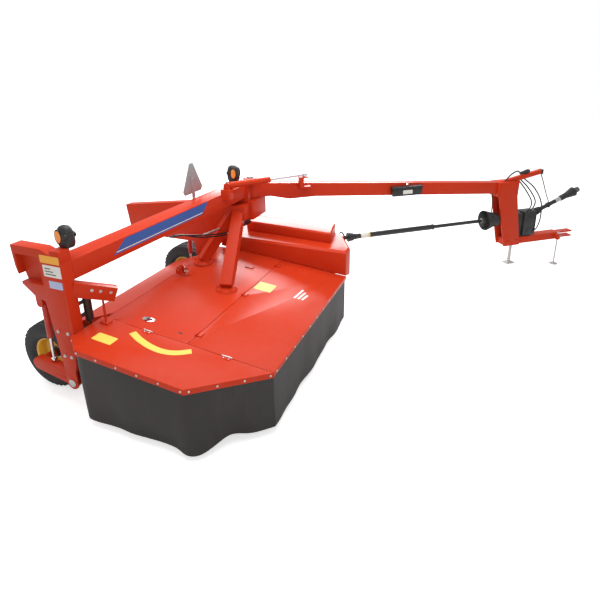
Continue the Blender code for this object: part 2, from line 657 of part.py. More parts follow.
def end_curtain_right():
    """Rubber skirt inside the cap's flange, on round the two chamfered corners."""
    ring = cap_edge(SHEET + SEAT + 0.002) + cap_edge(SHEET + SEAT + 0.002 + CURTAIN)[::-1]
    low = [(x, y, CURTAIN_BOTTOM_Z) for x, y in ring]
    high = [(x, y, deck_z(x) - SHEET - SEAT) for x, y in ring]
    return paint(loft("end_curtain_right", [low, high]), RUBBER, 0.85)


def end_curtain_left():
    y = END_LEFT_Y - SHEET - SEAT
    x0, x1 = DECK_REAR_X + 0.17, CUT_FRONT_X - 0.37
    item = box("end_curtain_left", (x0, y - CURTAIN, CURTAIN_BOTTOM_Z), (x1, y, HOOD_TOP_Z - 0.14))
    return paint(item, RUBBER, 0.85)


def front_shield():
    """Front deck panel: a lid hinged along the seam, with the front skirt under its edge."""
    hinge = Vector((SEAM_X, 0, deck_z(SEAM_X) + 0.012))
    outline = [(SEAM_X + 0.004, CAP_SEAM_Y + 0.003), (CUT_FRONT_X, CAP_SEAM_Y + 0.003),
               (CUT_FRONT_X, HOOD_RIGHT_Y - 0.006), (SEAM_X + 0.004, HOOD_RIGHT_Y - 0.006)]
    panel = slab("front_shield", outline, SHEET)
    lip = box("lip", (CUT_FRONT_X - 0.012, CAP_SEAM_Y + 0.003, DECK_FRONT_Z - 0.045),
              (CUT_FRONT_X, HOOD_RIGHT_Y - 0.006, DECK_FRONT_Z - 0.002))
    knuckles = [
        rod("knuckle", (hinge.x, y, hinge.z), (hinge.x, y + 0.08, hinge.z), 0.011, 12)
        for y in (CAP_SEAM_Y + 0.15, 0.15, HOOD_RIGHT_Y - 0.25)
    ]
    straps = [
        box("strap", (hinge.x + 0.005, y + 0.005, hinge.z - 0.024),
            (hinge.x + 0.06, y + 0.075, hinge.z - 0.004))
        for y in (CAP_SEAM_Y + 0.15, 0.15, HOOD_RIGHT_Y - 0.25)
    ]
    item = weld(panel, lip, *knuckles, *straps)
    return set_origin(paint(item, RED), (hinge.x, (CAP_SEAM_Y + HOOD_RIGHT_Y) / 2, hinge.z))


def front_curtain():
    x1 = CUT_FRONT_X - 0.012 - SEAT
    outline = [(x1 - CURTAIN, CAP_SEAM_Y + 0.006), (x1, CAP_SEAM_Y + 0.006),
               (x1, HOOD_RIGHT_Y - 0.008), (x1 - CURTAIN, HOOD_RIGHT_Y - 0.008)]
    low = [(x, y, CURTAIN_BOTTOM_Z) for x, y in outline]
    high = [(x, y, deck_z(x) - SHEET - SEAT) for x, y in outline]
    item = paint(loft("front_curtain", [low, high]), RUBBER, 0.85)
    return set_origin(item, (SEAM_X, (CAP_SEAM_Y + HOOD_RIGHT_Y) / 2, deck_z(SEAM_X) + 0.012))


def tyre(name, y):
    half = WHEEL_WIDTH / 2
    profile = [
        (RIM_RADIUS + SEAT, -half + 0.045), (RIM_RADIUS + 0.05, -half + 0.005), (WHEEL_RADIUS - 0.09, -half),
        (WHEEL_RADIUS - 0.03, -half + 0.025), (WHEEL_RADIUS, -half + 0.075), (WHEEL_RADIUS, half - 0.075),
        (WHEEL_RADIUS - 0.03, half - 0.025), (WHEEL_RADIUS - 0.09, half), (RIM_RADIUS + 0.05, half - 0.005),
        (RIM_RADIUS + SEAT, half - 0.045),
    ]
    item = turned(name, profile, (0, 0, 0))
    item.location = (0, y, WHEEL_RADIUS)
    return round_look(paint(item, RUBBER, 0.85), 50)


def rim(name, y, face):
    """Dished rim; face is the side, -1 or 1, that the arm's stub comes in from."""
    half = WHEEL_WIDTH / 2 - 0.05
    dish = face * 0.03
    bore = 0.028 + PIN_RUN
    profile = [
        (bore, dish - 0.05), (0.06, dish - 0.05), (0.06, dish - 0.006), (RIM_RADIUS - 0.02, dish - 0.006),
        (RIM_RADIUS - 0.02, -half), (RIM_RADIUS, -half), (RIM_RADIUS, half), (RIM_RADIUS - 0.02, half),
        (RIM_RADIUS - 0.02, dish + 0.006), (0.06, dish + 0.006), (0.06, dish + 0.05), (bore, dish + 0.05),
    ]
    item = turned(name, profile, (0, 0, 0))
    item.location = (0, y, WHEEL_RADIUS)
    return round_look(paint(item, YELLOW, 0.4), 50)


def wheel_arm(name, y, side):
    """Trailing arm from the leg's fork to the hub; side is the way from the arm to the wheel."""
    width = LEG_WIDTH - 2 * 0.018 - 2 * RUN
    front = circle((ARM_PIVOT_X, ARM_PIVOT_Z), 0.062, 9, -110, 180)
    rear = circle((0, WHEEL_RADIUS), 0.07, 9, 80, 180)
    top = [(0.27, 0.44), (0.16, 0.455)]
    body = plate(name, front + top + rear, "Y", y - width / 2, y + width / 2)
    x, z = ARM_PIVOT_X, ARM_PIVOT_Z
    bore = rod("bore", (x, y - 0.2, z), (x, y + 0.2, z), 0.03 + PIN_RUN)
    axle = Vector((0, y, WHEEL_RADIUS))
    stub = rod("stub", axle, axle + Vector((0, side * (WHEEL_OFFSET_Y + 0.03), 0)), 0.028)
    reach = WHEEL_OFFSET_Y - 0.03 - 0.05 - PIN_RUN
    collar = rod("collar", axle, axle + Vector((0, side * reach, 0)), 0.045)
    item = cut(weld(body, stub, collar), bore)
    return set_origin(paint(item, RED), (ARM_PIVOT_X, y, ARM_PIVOT_Z))


def lift_cylinder(label, y):
    """Barrel hung on the leg's stub and a rod that ends just above the arm."""
    top = Vector((LIFT_TOP.x, y, LIFT_TOP.z))
    foot = Vector((LIFT_FOOT.x, y, LIFT_FOOT.z))
    along = (foot - top).normalized()
    barrel = rod(f"lift_barrel_{label}", top + along * 0.02, top + along * 0.42, 0.032)
    eye = rod("eye", (top.x, y - 0.022, top.z), (top.x, y + 0.022, top.z), 0.03)
    bore = rod("bore", top + along * 0.05, top + along * 0.45, 0.016 + PIN_RUN)
    hole = rod("hole", (top.x, y - 0.1, top.z), (top.x, y + 0.1, top.z), 0.014 + PIN_RUN)
    barrel = cut(weld(barrel, eye), bore, hole)
    piston = rod(f"lift_rod_{label}", top + along * 0.09, foot - along * 0.02, 0.016)
    end = rod("end", (foot.x, y - 0.02, foot.z), (foot.x, y + 0.02, foot.z), 0.024)
    set_origin(paint(barrel, RED), top)
    set_origin(paint(weld(piston, end), CHROME, 0.15, 1.0), top)


def on_tongue(item):
    """Places a piece that is built in the tongue's frame: X along it, Y to its left, origin on its pivot."""
    item.location = PIVOT
    item.rotation_euler.z = math.radians(SWING)
    return item


def tongue_top(s):
    return 1.902 - TONGUE_DROP * s


def tongue_beam():
    """Long box with a deeper rear end, bored for the pivot pin, and the bracket of the swing cylinder."""
    half = TONGUE_WIDTH / 2
    top_gap, low_gap = HEAD_HIGH_Z - RUN, HEAD_LOW_Z + RUN
    rings = []
    front_low = tongue_top(TONGUE_LENGTH) - TONGUE_DEPTH + 0.01
    for s, low in ((0.0, low_gap), (0.27, low_gap), (0.55, tongue_top(0.55) - 0.235),
                   (0.95, tongue_top(0.95) - TONGUE_DEPTH), (TONGUE_LENGTH, front_low)):
        high = min(tongue_top(s), top_gap)
        rings.append([(s, -half, low), (s, half, low), (s, half, high), (s, -half, high)])
    beam = loft("tongue_beam", rings)
    eye = rod("eye", (0, 0, low_gap), (0, 0, tongue_top(0)), 0.115, 24)
    s0, w0, w1 = SWING_EYE_S - 0.08, SWING_EYE_W - 0.05, SWING_EYE_W + 0.05
    bracket = box("bracket", (s0, w0, 1.80), (SWING_EYE_S + 0.08, -half + 0.01, 1.82))
    riser = box("riser", (s0, w0, 1.80), (s0 + 0.06, w1, 1.955))
    cap = box("cap", (s0, w0, 1.94), (SWING_EYE_S + 0.045, w1, 1.955))
    bore = rod("bore", (0, 0, 1.5), (0, 0, 2.0), 0.045 + PIN_RUN, 20)
    return on_tongue(paint(cut(weld(beam, eye, bracket, riser, cap), bore), RED))


def tongue_head():
    """Front end of the tongue: head box, the two plates of the drop leg and the hose arm."""
    top = tongue_top(TONGUE_LENGTH)
    s0 = TONGUE_LENGTH + SEAT
    head = box("tongue_head", (s0, -0.11, top - 0.24), (s0 + 0.40, 0.11, top))
    outline = [(s0 + 0.03, top - 0.22), (s0 + 0.39, top - 0.22), (s0 + 0.57, DRAWBAR_Z - 0.07),
               (s0 + 0.25, DRAWBAR_Z - 0.07), (s0 + 0.21, DRAWBAR_Z + 0.08)]
    legs = [plate("leg", outline, "Y", low, low + 0.025) for low in (-0.11, 0.085)]
    arm = bar("arm", (s0 + 0.10, -0.02, top - 0.03), (s0 + 0.88, -0.02, top + 0.12), 0.07, 0.07)
    return on_tongue(paint(weld(head, *legs, arm), RED))


def drawbar():
    """Hitch bar between the drop leg's plates, with the clevis in front and the jack sleeve beside it."""
    s0 = TONGUE_LENGTH + 0.26
    half = 0.085 - SEAT
    bar_body = box("drawbar", (s0, -half, DRAWBAR_Z - 0.06), (HITCH_S - 0.25, half, DRAWBAR_Z + 0.06))
    tines = [
        box("tine", (HITCH_S - 0.27, -0.06, z), (HITCH_S + 0.06, 0.06, z + 0.025))
        for z in (DRAWBAR_Z - 0.055, DRAWBAR_Z + 0.03)
    ]
    holes = rod("holes", (HITCH_S, 0, 0.3), (HITCH_S, 0, 0.8), 0.017)
    jack = Vector((JACK_S, JACK_W, DRAWBAR_Z))
    stand = Vector((STAND_S, STAND_W, DRAWBAR_Z))
    up = Vector((0, 0, 1))
    sleeve = rod("sleeve", jack - up * 0.13, jack + up * 0.20, 0.04, 20)
    lug = box("lug", (JACK_S - 0.03, half - 0.01, DRAWBAR_Z - 0.03),
              (JACK_S + 0.03, JACK_W, DRAWBAR_Z + 0.03))
    guide = box("guide", (STAND_S - 0.03, STAND_W - 0.03, DRAWBAR_Z - 0.05),
                (STAND_S + 0.03, -half + 0.01, DRAWBAR_Z + 0.05))
    bores = [
        rod("jack_bore", jack - up * 0.2, jack + up * 0.185, 0.028 + PIN_RUN, 20),
        rod("stand_bore", stand - up * 0.2, stand + up * 0.2, 0.014 + PIN_RUN, 12),
    ]
    return on_tongue(paint(cut(weld(bar_body, *tines, sleeve, lug, guide), holes, *bores), RED))


def jack_leg():
    tube = rod("jack_leg", (JACK_S, JACK_W, 0.008), (JACK_S, JACK_W, DRAWBAR_Z - 0.09), 0.028, 20)
    foot = box("foot", (JACK_S - 0.09, JACK_W - 0.07, 0), (JACK_S + 0.09, JACK_W + 0.07, 0.012))
    return on_tongue(paint(weld(tube, foot), STEEL, 0.4, 0.6))


def drawbar_stand():
    tube = rod("drawbar_stand", (STAND_S, STAND_W, 0.006), (STAND_S, STAND_W, DRAWBAR_Z + 0.09), 0.014, 12)
    foot = plate("foot", circle((STAND_S, STAND_W), 0.07, 16), "Z", 0, 0.01)
    return on_tongue(paint(weld(tube, foot), STEEL, 0.4, 0.6))


def front_gear_case():
    """Gear case in front of the drop leg, seated on the drawbar, with the driveline's guard bell."""
    s0 = TONGUE_LENGTH + 0.50
    low = DRAWBAR_Z + 0.06 + SEAT
    case = box("front_gear_case", (s0, -0.07, low), (s0 + 0.30, 0.07, 1.0))
    cover = box("cover", (s0 + 0.11, -0.105, low + 0.03), (s0 + 0.36, 0.105, 1.03))
    neck = rod("neck", SHAFT_START - SHAFT_ALONG * 0.14, SHAFT_START, 0.06)
    back = Vector((SHAFT_FRONT_S - 0.05, 0, SHAFT_FRONT_Z))
    mouth = back - Vector((0.15, 0, 0))
    rear = rod("rear", back - Vector((0.01, 0, 0)), (s0 + 0.05, 0, SHAFT_FRONT_Z), 0.03)
    bell = rod("bell", back, mouth, BELL_RADIUS - 0.05, 24, BELL_RADIUS)
    hollow = rod("hollow", back - Vector((0.02, 0, 0)), mouth - Vector((0.01, 0, 0)),
                 BELL_RADIUS - 0.058, 24, BELL_RADIUS - 0.006)
    return on_tongue(paint(weld(case, cover, neck, rear, cut(bell, hollow)), BLACK, 0.45))


def pto_shaft():
    """Input shaft to the tractor: guard tube, bell and yoke, parked pointing up."""
    along = SHAFT_ALONG
    start, end = SHAFT_START + along * SEAT, SHAFT_START + along * 0.66
    tube = rod("pto_shaft", start + along * 0.03, end, 0.036)
    rear_bell = rod("rear_bell", start, start + along * 0.10, 0.065, 16, 0.05)
    bell = rod("bell", end - along * 0.02, end + along * 0.16, 0.05, 16, 0.085)
    yoke = rod("yoke", end + along * 0.14, end + along * 0.26, 0.045)
    return on_tongue(paint(weld(tube, rear_bell, bell, yoke), BLACK, 0.5))


def manual_box():
    half = TONGUE_WIDTH / 2 + SEAT
    s0, s1 = 2.14, 2.66
    low = tongue_top((s0 + s1) / 2) - 0.19
    return on_tongue(paint(box("manual_box", (s0, -half - 0.09, low), (s1, -half, low + 0.15)), BLACK, 0.5))


def swing_cylinder():
    """Barrel on a lug of the beam and a rod whose eye rides just above the tongue's bracket."""
    turn = math.radians(SWING)
    eye = PIVOT + Vector((SWING_EYE_S * math.cos(turn) - SWING_EYE_W * math.sin(turn),
                          SWING_EYE_S * math.sin(turn) + SWING_EYE_W * math.cos(turn), SWING_BASE.z))
    base = SWING_BASE
    along = (eye - base).normalized()
    barrel = rod("swing_barrel", base + along * 0.03, base + along * 0.62, 0.042)
    knuckle = rod("knuckle", (base.x, base.y, base.z - 0.043), (base.x, base.y, base.z + 0.03), 0.045)
    bore = rod("bore", base + along * 0.09, base + along * 0.7, 0.019 + PIN_RUN)
    hole = rod("hole", (base.x, base.y, 1.8), (base.x, base.y, 2.2), 0.018 + PIN_RUN)
    set_origin(paint(cut(weld(barrel, knuckle), bore, hole), RED), base)
    piston = rod("swing_rod", base + along * 0.53, eye - along * 0.02, 0.019)
    ring = rod("ring", (eye.x, eye.y, eye.z - 0.022), (eye.x, eye.y, eye.z + 0.022), 0.038)
    set_origin(paint(weld(piston, ring), CHROME, 0.15, 1.0), base)


def swing_lug():
    """Foot and pin on the beam for the swing cylinder."""
    base = SWING_BASE
    foot = box("swing_lug", (base.x - 0.06, base.y - 0.06, 1.80),
               (base.x + 0.06, base.y + 0.06, base.z - 0.043 - PIN_RUN))
    pin = rod("pin", (base.x, base.y, base.z - 0.06), (base.x, base.y, base.z + 0.045), 0.018)
    return weld(foot, pin)


def driveline():
    """Telescoping shaft between the gear cases: outer and inner tube, opened at the front joint."""
    turn = math.radians(SWING)
    front = PIVOT + Vector((SHAFT_FRONT_S * math.cos(turn), SHAFT_FRONT_S * math.sin(turn), SHAFT_FRONT_Z))
    rear = SHAFT_REAR
    along = (front - rear).normalized()
    length = (front - rear).length
    outer = rod("driveline_outer", rear + along * (JOINT_BALL + SEAT), rear + along * (length * 0.56), 0.042)
    bell = rod("bell", rear + along * (JOINT_BALL + 0.001), rear + along * 0.12, 0.07, 16, 0.055)
    bore = rod("bore", rear + along * 0.30, rear + along * length, 0.030 + PIN_RUN)
    set_origin(paint(cut(weld(outer, bell), bore), BLACK, 0.5), rear)
    inner = rod("driveline_inner", rear + along * 0.75, front - along * SHAFT_OPEN, 0.030)
    set_origin(paint(inner, BLACK, 0.5), rear)


def centre_on_footprint():
    """Puts the origin on the floor under the middle of the machine's outline."""
    bpy.context.view_layer.update()
    corners = [
        piece.matrix_world @ vertex.co
        for piece in bpy.data.objects if piece.type == "MESH" for vertex in piece.data.vertices
    ]
    middle = Vector(
        ((min(c[axis] for c in corners) + max(c[axis] for c in corners)) / 2 for axis in range(2))
    )
    for piece in bpy.data.objects:
        if piece.parent is None:
            piece.location -= Vector((middle.x, middle.y, 0))


def build():
    clear_scene()
    header_frame()
    cutterbar()
    for index in range(DISC_COUNT):
        disc(index)
    roll("lower_roll", LOWER_ROLL_Z)
    roll("upper_roll", LOWER_ROLL_Z + 2 * ROLL_RADIUS + ROLL_GAP)
    rear_panel()
    end_cap()
    drive_hood()
    shaft_cover()
    drive_case()
    tower()
    weld(cross_beam(), swing_lug())
    right_leg()
    left_carrier()
    pivot_head()
    marker()
    lamp("warning_lamp_right", 0.59, LEG_RIGHT_Y + 0.095, LEG_TOP_Z + SEAT)
    lamp("warning_lamp_left", PIVOT.x - 0.16, PIVOT.y - 0.17, HEAD_HIGH_Z + HEAD_PLATE + SEAT)
    float_link()
    rear_hood()
    swath_gate()
    right_y, left_y = hood_sides(-RUN - 0.01)
    windrow_shield("windrow_shield_right", right_y, -1)
    windrow_shield("windrow_shield_left", left_y, 1)
    end_curtain_right()
    end_curtain_left()
    front_shield()
    front_curtain()
    for label, arm_y, side in (("right", LEG_RIGHT_Y, 1), ("left", CARRIER_Y, 1)):
        wheel_y = arm_y + side * WHEEL_OFFSET_Y
        tyre(f"tyre_{label}", wheel_y)
        rim(f"rim_{label}", wheel_y, -side)
        wheel_arm(f"wheel_arm_{label}", arm_y, side)
        lift_cylinder(label, arm_y)
    tongue_beam()
    tongue_head()
    drawbar()
    jack_leg()
    drawbar_stand()
    front_gear_case()
    pto_shaft()
    manual_box()
    swing_cylinder()
    driveline()
    centre_on_footprint()


build()
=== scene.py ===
import json
import math

import bmesh
import bpy
from mathutils import Matrix, Quaternion, Vector, noise


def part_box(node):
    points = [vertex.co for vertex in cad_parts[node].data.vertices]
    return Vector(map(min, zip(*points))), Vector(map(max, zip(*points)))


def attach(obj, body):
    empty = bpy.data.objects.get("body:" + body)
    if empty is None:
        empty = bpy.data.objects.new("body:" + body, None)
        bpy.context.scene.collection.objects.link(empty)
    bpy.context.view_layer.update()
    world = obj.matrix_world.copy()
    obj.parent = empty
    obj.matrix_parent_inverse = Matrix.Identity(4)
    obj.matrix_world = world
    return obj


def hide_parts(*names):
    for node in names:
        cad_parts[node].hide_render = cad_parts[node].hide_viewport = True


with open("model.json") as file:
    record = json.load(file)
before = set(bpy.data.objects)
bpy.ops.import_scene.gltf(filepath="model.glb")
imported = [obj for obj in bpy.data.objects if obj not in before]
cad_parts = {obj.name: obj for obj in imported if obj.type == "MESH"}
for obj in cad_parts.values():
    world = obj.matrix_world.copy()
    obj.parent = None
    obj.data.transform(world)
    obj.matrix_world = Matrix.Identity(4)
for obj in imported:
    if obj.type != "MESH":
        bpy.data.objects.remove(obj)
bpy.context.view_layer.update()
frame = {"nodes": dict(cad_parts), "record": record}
nodes = frame["nodes"]
print("frame loaded:", len(nodes), "nodes")

# the machine's own axes: x forward from the axle line, y left, z up from the floor
wheelLineY = -1.04
tyreLow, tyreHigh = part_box("tyre_right")
home = Vector(((tyreLow.x + tyreHigh.x) / 2, (tyreLow.y + tyreHigh.y) / 2 - wheelLineY, 0))
fieldSpace = Matrix.Translation(home)
pivotPin = Vector((1.21, 1.40, 0))
swingAngle = math.radians(38.3)
tongueSpace = Matrix.Translation(home + pivotPin) @ Matrix.Rotation(swingAngle, 4, "Z")


deckSlope = 0.096
deckUp = (deckSlope, 0, 1)


def deckZ(x):
    return 0.717 + deckSlope * (2.67 - x)


def tongueTop(s):
    return 1.902 - 0.0747 * s


# camera, light and floor

studio = {
    "eye": (4.3763, -4.3610, 3.4511), "heading": (-0.3475, 0.8814, -0.3199), "roll": 0.389,
    "lens": 28.48, "shiftX": -0.0158, "shiftY": -0.1244,
    "floorSize": 60.0, "sky": 0.54, "floorShade": 0.84, "floorGlow": 0.62,
}


def makeCamera():
    data = bpy.data.cameras.new("studioCamera")
    camera = bpy.data.objects.new("studioCamera", data)
    bpy.context.scene.collection.objects.link(camera)
    heading = Vector(studio["heading"]).normalized()
    level = heading.to_track_quat("-Z", "Y")
    camera.rotation_mode = "QUATERNION"
    camera.rotation_quaternion = Quaternion(heading, math.radians(studio["roll"])) @ level
    camera.location = home + Vector(studio["eye"])
    data.lens = studio["lens"]
    data.sensor_width = 36
    data.shift_x, data.shift_y = studio["shiftX"], studio["shiftY"]
    data.clip_end = 200
    bpy.context.scene.camera = camera


def softBox(name, place, target, size, power, colour=(1, 1, 1)):
    data = bpy.data.lights.new(name, "AREA")
    data.shape = "RECTANGLE"
    data.size, data.size_y = size
    data.energy = power
    data.color = colour
    lamp = bpy.data.objects.new(name, data)
    bpy.context.scene.collection.objects.link(lamp)
    lamp.location = home + Vector(place)
    lamp.rotation_mode = "QUATERNION"
    lamp.rotation_quaternion = (Vector(target) - Vector(place)).to_track_quat("-Z", "Y")


def makeStudio():
    world = bpy.data.worlds.new("studioSky")
    bpy.context.scene.world = world
    world.use_nodes = True
    tree = world.node_tree
    sky = tree.nodes["Background"]
    sky.inputs["Color"].default_value = (0.98, 0.985, 1.0, 1)
    sky.inputs["Strength"].default_value = studio["sky"]
    # the backdrop stays white, however soft the light is
    backdrop = tree.nodes.new("ShaderNodeBackground")
    backdrop.inputs["Color"].default_value = (1, 1, 1, 1)
    backdrop.inputs["Strength"].default_value = 1.0
    path, mix = tree.nodes.new("ShaderNodeLightPath"), tree.nodes.new("ShaderNodeMixShader")
    tree.links.new(path.outputs["Is Camera Ray"], mix.inputs[0])
    tree.links.new(sky.outputs[0], mix.inputs[1])
    tree.links.new(backdrop.outputs[0], mix.inputs[2])
    tree.links.new(mix.outputs[0], tree.nodes["World Output"].inputs["Surface"])
    softBox("topSoftBox", (1.5, 0.5, 6.5), (1.5, 0.3, 0), (7, 7), 400)
    softBox("keySoftBox", (6.5, -6.0, 5.0), (1.5, 0, 0.6), (4, 3), 60, (1.0, 0.98, 0.95))
    softBox("backSoftBox", (-1.0, 9.5, 4.5), (1.8, 0.6, 0.8), (7, 3.5), 900, (0.95, 0.98, 1.0))
    mesh = bpy.data.meshes.new("studioFloor")
    half = studio["floorSize"] / 2
    mesh.from_pydata([(-half, -half, 0), (half, -half, 0), (half, half, 0), (-half, half, 0)], [],
                     [(0, 1, 2, 3)])
    floor = bpy.data.objects.new("studioFloor", mesh)
    bpy.context.scene.collection.objects.link(floor)
    material = bpy.data.materials.new("paleFloor")
    material.use_nodes = True
    shader = material.node_tree.nodes["Principled BSDF"]
    shader.inputs["Base Color"].default_value = (*[studio["floorShade"]] * 3, 1)
    shader.inputs["Roughness"].default_value = 0.9
    shader.inputs["Specular IOR Level"].default_value = 0.1
    shader.inputs["Emission Color"].default_value = (1, 1, 1, 1)
    # seen straight on, the far floor is as white as the backdrop
    tree = material.node_tree
    seen, strength = tree.nodes.new("ShaderNodeLightPath"), tree.nodes.new("ShaderNodeMath")
    strength.operation = "MULTIPLY"
    strength.inputs[1].default_value = studio["floorGlow"]
    tree.links.new(seen.outputs["Is Camera Ray"], strength.inputs[0])
    tree.links.new(strength.outputs[0], shader.inputs["Emission Strength"])
    mesh.materials.append(material)
    bpy.context.scene.view_settings.view_transform = "Standard"


makeCamera()
makeStudio()
print("camera and studio ready")


# shader groups

def addNode(tree, kind, values=(), **facts):
    node = tree.nodes.new(kind)
    for key, value in facts.items():
        setattr(node, key, value)
    for key, value in dict(values).items():
        node.inputs[key].default_value = value
    return node


def wire(tree, *runs):
    # each run is a node and its output, or a socket, then a node and its input
    for *source, node, label in runs:
        socket = source[0].outputs[source[1]] if len(source) == 2 else source[0]
        tree.links.new(socket, node.inputs[label])


def feed(tree, node, *pairs):
    # each input gets a number, a colour or another node's socket
    for label, value in pairs:
        if isinstance(value, bpy.types.NodeSocket):
            tree.links.new(value, node.inputs[label])
        else:
            node.inputs[label].default_value = value
    return node


def mixColour(tree, factor, first, second):
    node = addNode(tree, "ShaderNodeMix", data_type="RGBA")
    return feed(tree, node, (0, factor), (6, first), (7, second)).outputs[2]


def mathNode(tree, operation, first, second, clamp=False):
    node = addNode(tree, "ShaderNodeMath", operation=operation, use_clamp=clamp)
    return feed(tree, node, (0, first), (1, second)).outputs[0]


def times(tree, first, second, clamp=False):
    return mathNode(tree, "MULTIPLY", first, second, clamp)


def plus(tree, first, second, clamp=False):
    return mathNode(tree, "ADD", first, second, clamp)


def ramp(tree, source, low, high):
    node = addNode(tree, "ShaderNodeMapRange", {"From Min": low, "From Max": high}, clamp=True)
    return feed(tree, node, ("Value", source)).outputs["Result"]


def cloudNode(tree, place, scale, detail, roughness=0.5, distortion=0.0):
    node = addNode(tree, "ShaderNodeTexNoise", {"Detail": detail, "Roughness": roughness,
                                                "Distortion": distortion})
    return feed(tree, node, ("Vector", place), ("Scale", scale)).outputs["Fac"]


def newGroup(name, inputs):
    group = bpy.data.node_groups.new(name, "ShaderNodeTree")
    for label, value in inputs.items():
        kind = "NodeSocketColor" if isinstance(value, tuple) else "NodeSocketFloat"
        group.interface.new_socket(label, in_out="INPUT", socket_type=kind).default_value = value
    start = group.nodes.new("NodeGroupInput").outputs
    return group, start, addNode(group, "ShaderNodeTexCoord").outputs["Object"]


def closeGroup(group, colour, roughness, height):
    for label, kind in (("Colour", "Color"), ("Roughness", "Float"), ("Height", "Float")):
        group.interface.new_socket(label, in_out="OUTPUT", socket_type="NodeSocket" + kind)
    end = group.nodes.new("NodeGroupOutput")
    wire(group, (colour, end, "Colour"), (roughness, end, "Roughness"), (height, end, "Height"))
    return group


def coatGroup():
    # paint with orange peel, scuffs and dust that thickens toward the floor
    group, start, place = newGroup("sprayedCoat", {
        "Colour": (0.6, 0.03, 0.01, 1), "Shade": (0.4, 0.02, 0.01, 1), "Dust": (0.42, 0.36, 0.30, 1),
        "Dust Amount": 0.12, "Roughness": 0.3, "Peel": 0.5})
    split = feed(group, addNode(group, "ShaderNodeSeparateXYZ"), ("Vector", place))
    tone = ramp(group, cloudNode(group, place, 1.1, 3.0, 0.55), 0.35, 0.70)
    base = mixColour(group, times(group, tone, 0.22), start["Colour"], start["Shade"])
    low = ramp(group, split.outputs["Z"], 1.1, 0.15)
    drift = ramp(group, cloudNode(group, place, 9.0, 6.0, 0.62), 0.42, 0.75)
    film = times(group, times(group, drift, plus(group, low, 0.35)), start["Dust Amount"], True)
    dusty = mixColour(group, film, base, start["Dust"])
    scuff = ramp(group, cloudNode(group, place, 38.0, 5.0, 0.7, 0.6), 0.68, 0.76)
    worn = mixColour(group, times(group, scuff, 0.05), dusty, (0.75, 0.35, 0.25, 1))
    rough = plus(group, start["Roughness"], times(group, film, 0.6))
    rough = plus(group, rough, times(group, tone, 0.05), True)
    return closeGroup(group, worn, rough, times(group, cloudNode(group, place, 170.0, 2.0), start["Peel"]))


def rubberGroup():
    # rubber or coated cloth with grain, weave and pale scuffs
    group, start, place = newGroup("rubberSkin", {
        "Colour": (0.03, 0.03, 0.03, 1), "Scuff": (0.16, 0.15, 0.14, 1), "Scuff Amount": 0.4, "Grain": 220.0,
        "Weave": 0.0, "Roughness": 0.6})
    stretch = addNode(group, "ShaderNodeMapping", {"Scale": (3.0, 3.0, 0.5)})
    across, along = [addNode(group, "ShaderNodeTexWave", {"Scale": 150.0}, wave_type="BANDS",
                             bands_direction=way)
                     for way in ("Z", "DIAGONAL")]
    wire(group, *[(place, node, "Vector") for node in (stretch, across, along)])
    blotch = ramp(group, cloudNode(group, place, 3.2, 6.0, 0.6), 0.40, 0.75)
    streak = ramp(group, cloudNode(group, stretch.outputs["Vector"], 5.0, 5.0, 0.65), 0.35, 0.7)
    dust = times(group, times(group, blotch, streak), start["Scuff Amount"], True)
    colour = mixColour(group, dust, start["Colour"], start["Scuff"])
    rough = plus(group, start["Roughness"], times(group, dust, 0.35), True)
    cloth = times(group, plus(group, across.outputs["Fac"], along.outputs["Fac"]), start["Weave"])
    grain = cloudNode(group, place, start["Grain"], 3.0, 0.7)
    return closeGroup(group, colour, rough, plus(group, times(group, grain, 0.7), cloth))


def metalGroup():
    # bare or plated metal with spangle and stains
    group, start, place = newGroup("drawnMetal", {
        "Colour": (0.5, 0.5, 0.5, 1), "Stain": (0.2, 0.17, 0.14, 1), "Stain Amount": 0.3, "Spangle": 0.3,
        "Roughness": 0.3})
    patches = feed(group, addNode(group, "ShaderNodeTexVoronoi", {"Scale": 60.0}), ("Vector", place))
    grey = feed(group, addNode(group, "ShaderNodeRGBToBW"), ("Color", patches.outputs["Color"]))
    glint = mathNode(group, "MULTIPLY_ADD", mathNode(group, "SUBTRACT", grey.outputs["Val"], 0.5),
                     start["Spangle"])
    glint.node.inputs[2].default_value = 1.0
    sparkle = feed(group, addNode(group, "ShaderNodeHueSaturation"), ("Value", glint),
                   ("Color", start["Colour"]))
    stain = times(group, ramp(group, cloudNode(group, place, 14.0, 6.0, 0.65), 0.45, 0.72),
                  start["Stain Amount"])
    colour = mixColour(group, stain, sparkle.outputs["Color"], start["Stain"])
    rough = plus(group, start["Roughness"], times(group, stain, 0.5), True)
    return closeGroup(group, colour, rough, cloudNode(group, place, 260.0, 2.0))


# each kind's group and the inputs that a finish sets, in order
skins = {
    "coat": (coatGroup(), ("Colour", "Shade", "Dust Amount", "Roughness", "Peel")),
    "rubber": (rubberGroup(), ("Colour", "Scuff", "Scuff Amount", "Grain", "Weave", "Roughness")),
    "metal": (metalGroup(), ("Colour", "Stain", "Stain Amount", "Spangle", "Roughness")),
}
materials = {}


def finish(name, kind, values, bump, bumpDistance=0.002, **constants):
    material = bpy.data.materials.new(name)
    material.use_nodes = True
    tree = material.node_tree
    shader = tree.nodes["Principled BSDF"]
    group, labels = skins[kind]
    skin = addNode(tree, "ShaderNodeGroup", node_tree=group)
    for label, value in zip(labels, values):
        skin.inputs[label].default_value = (*value, 1) if isinstance(value, tuple) else value
    relief = addNode(tree, "ShaderNodeBump", {"Strength": bump, "Distance": bumpDistance})
    wire(tree, (skin, "Colour", shader, "Base Color"), (skin, "Roughness", shader, "Roughness"),
         (skin, "Height", relief, "Height"), (relief, "Normal", shader, "Normal"))
    for key, value in constants.items():
        shader.inputs[key.replace("_", " ")].default_value = value
    materials[name] = material


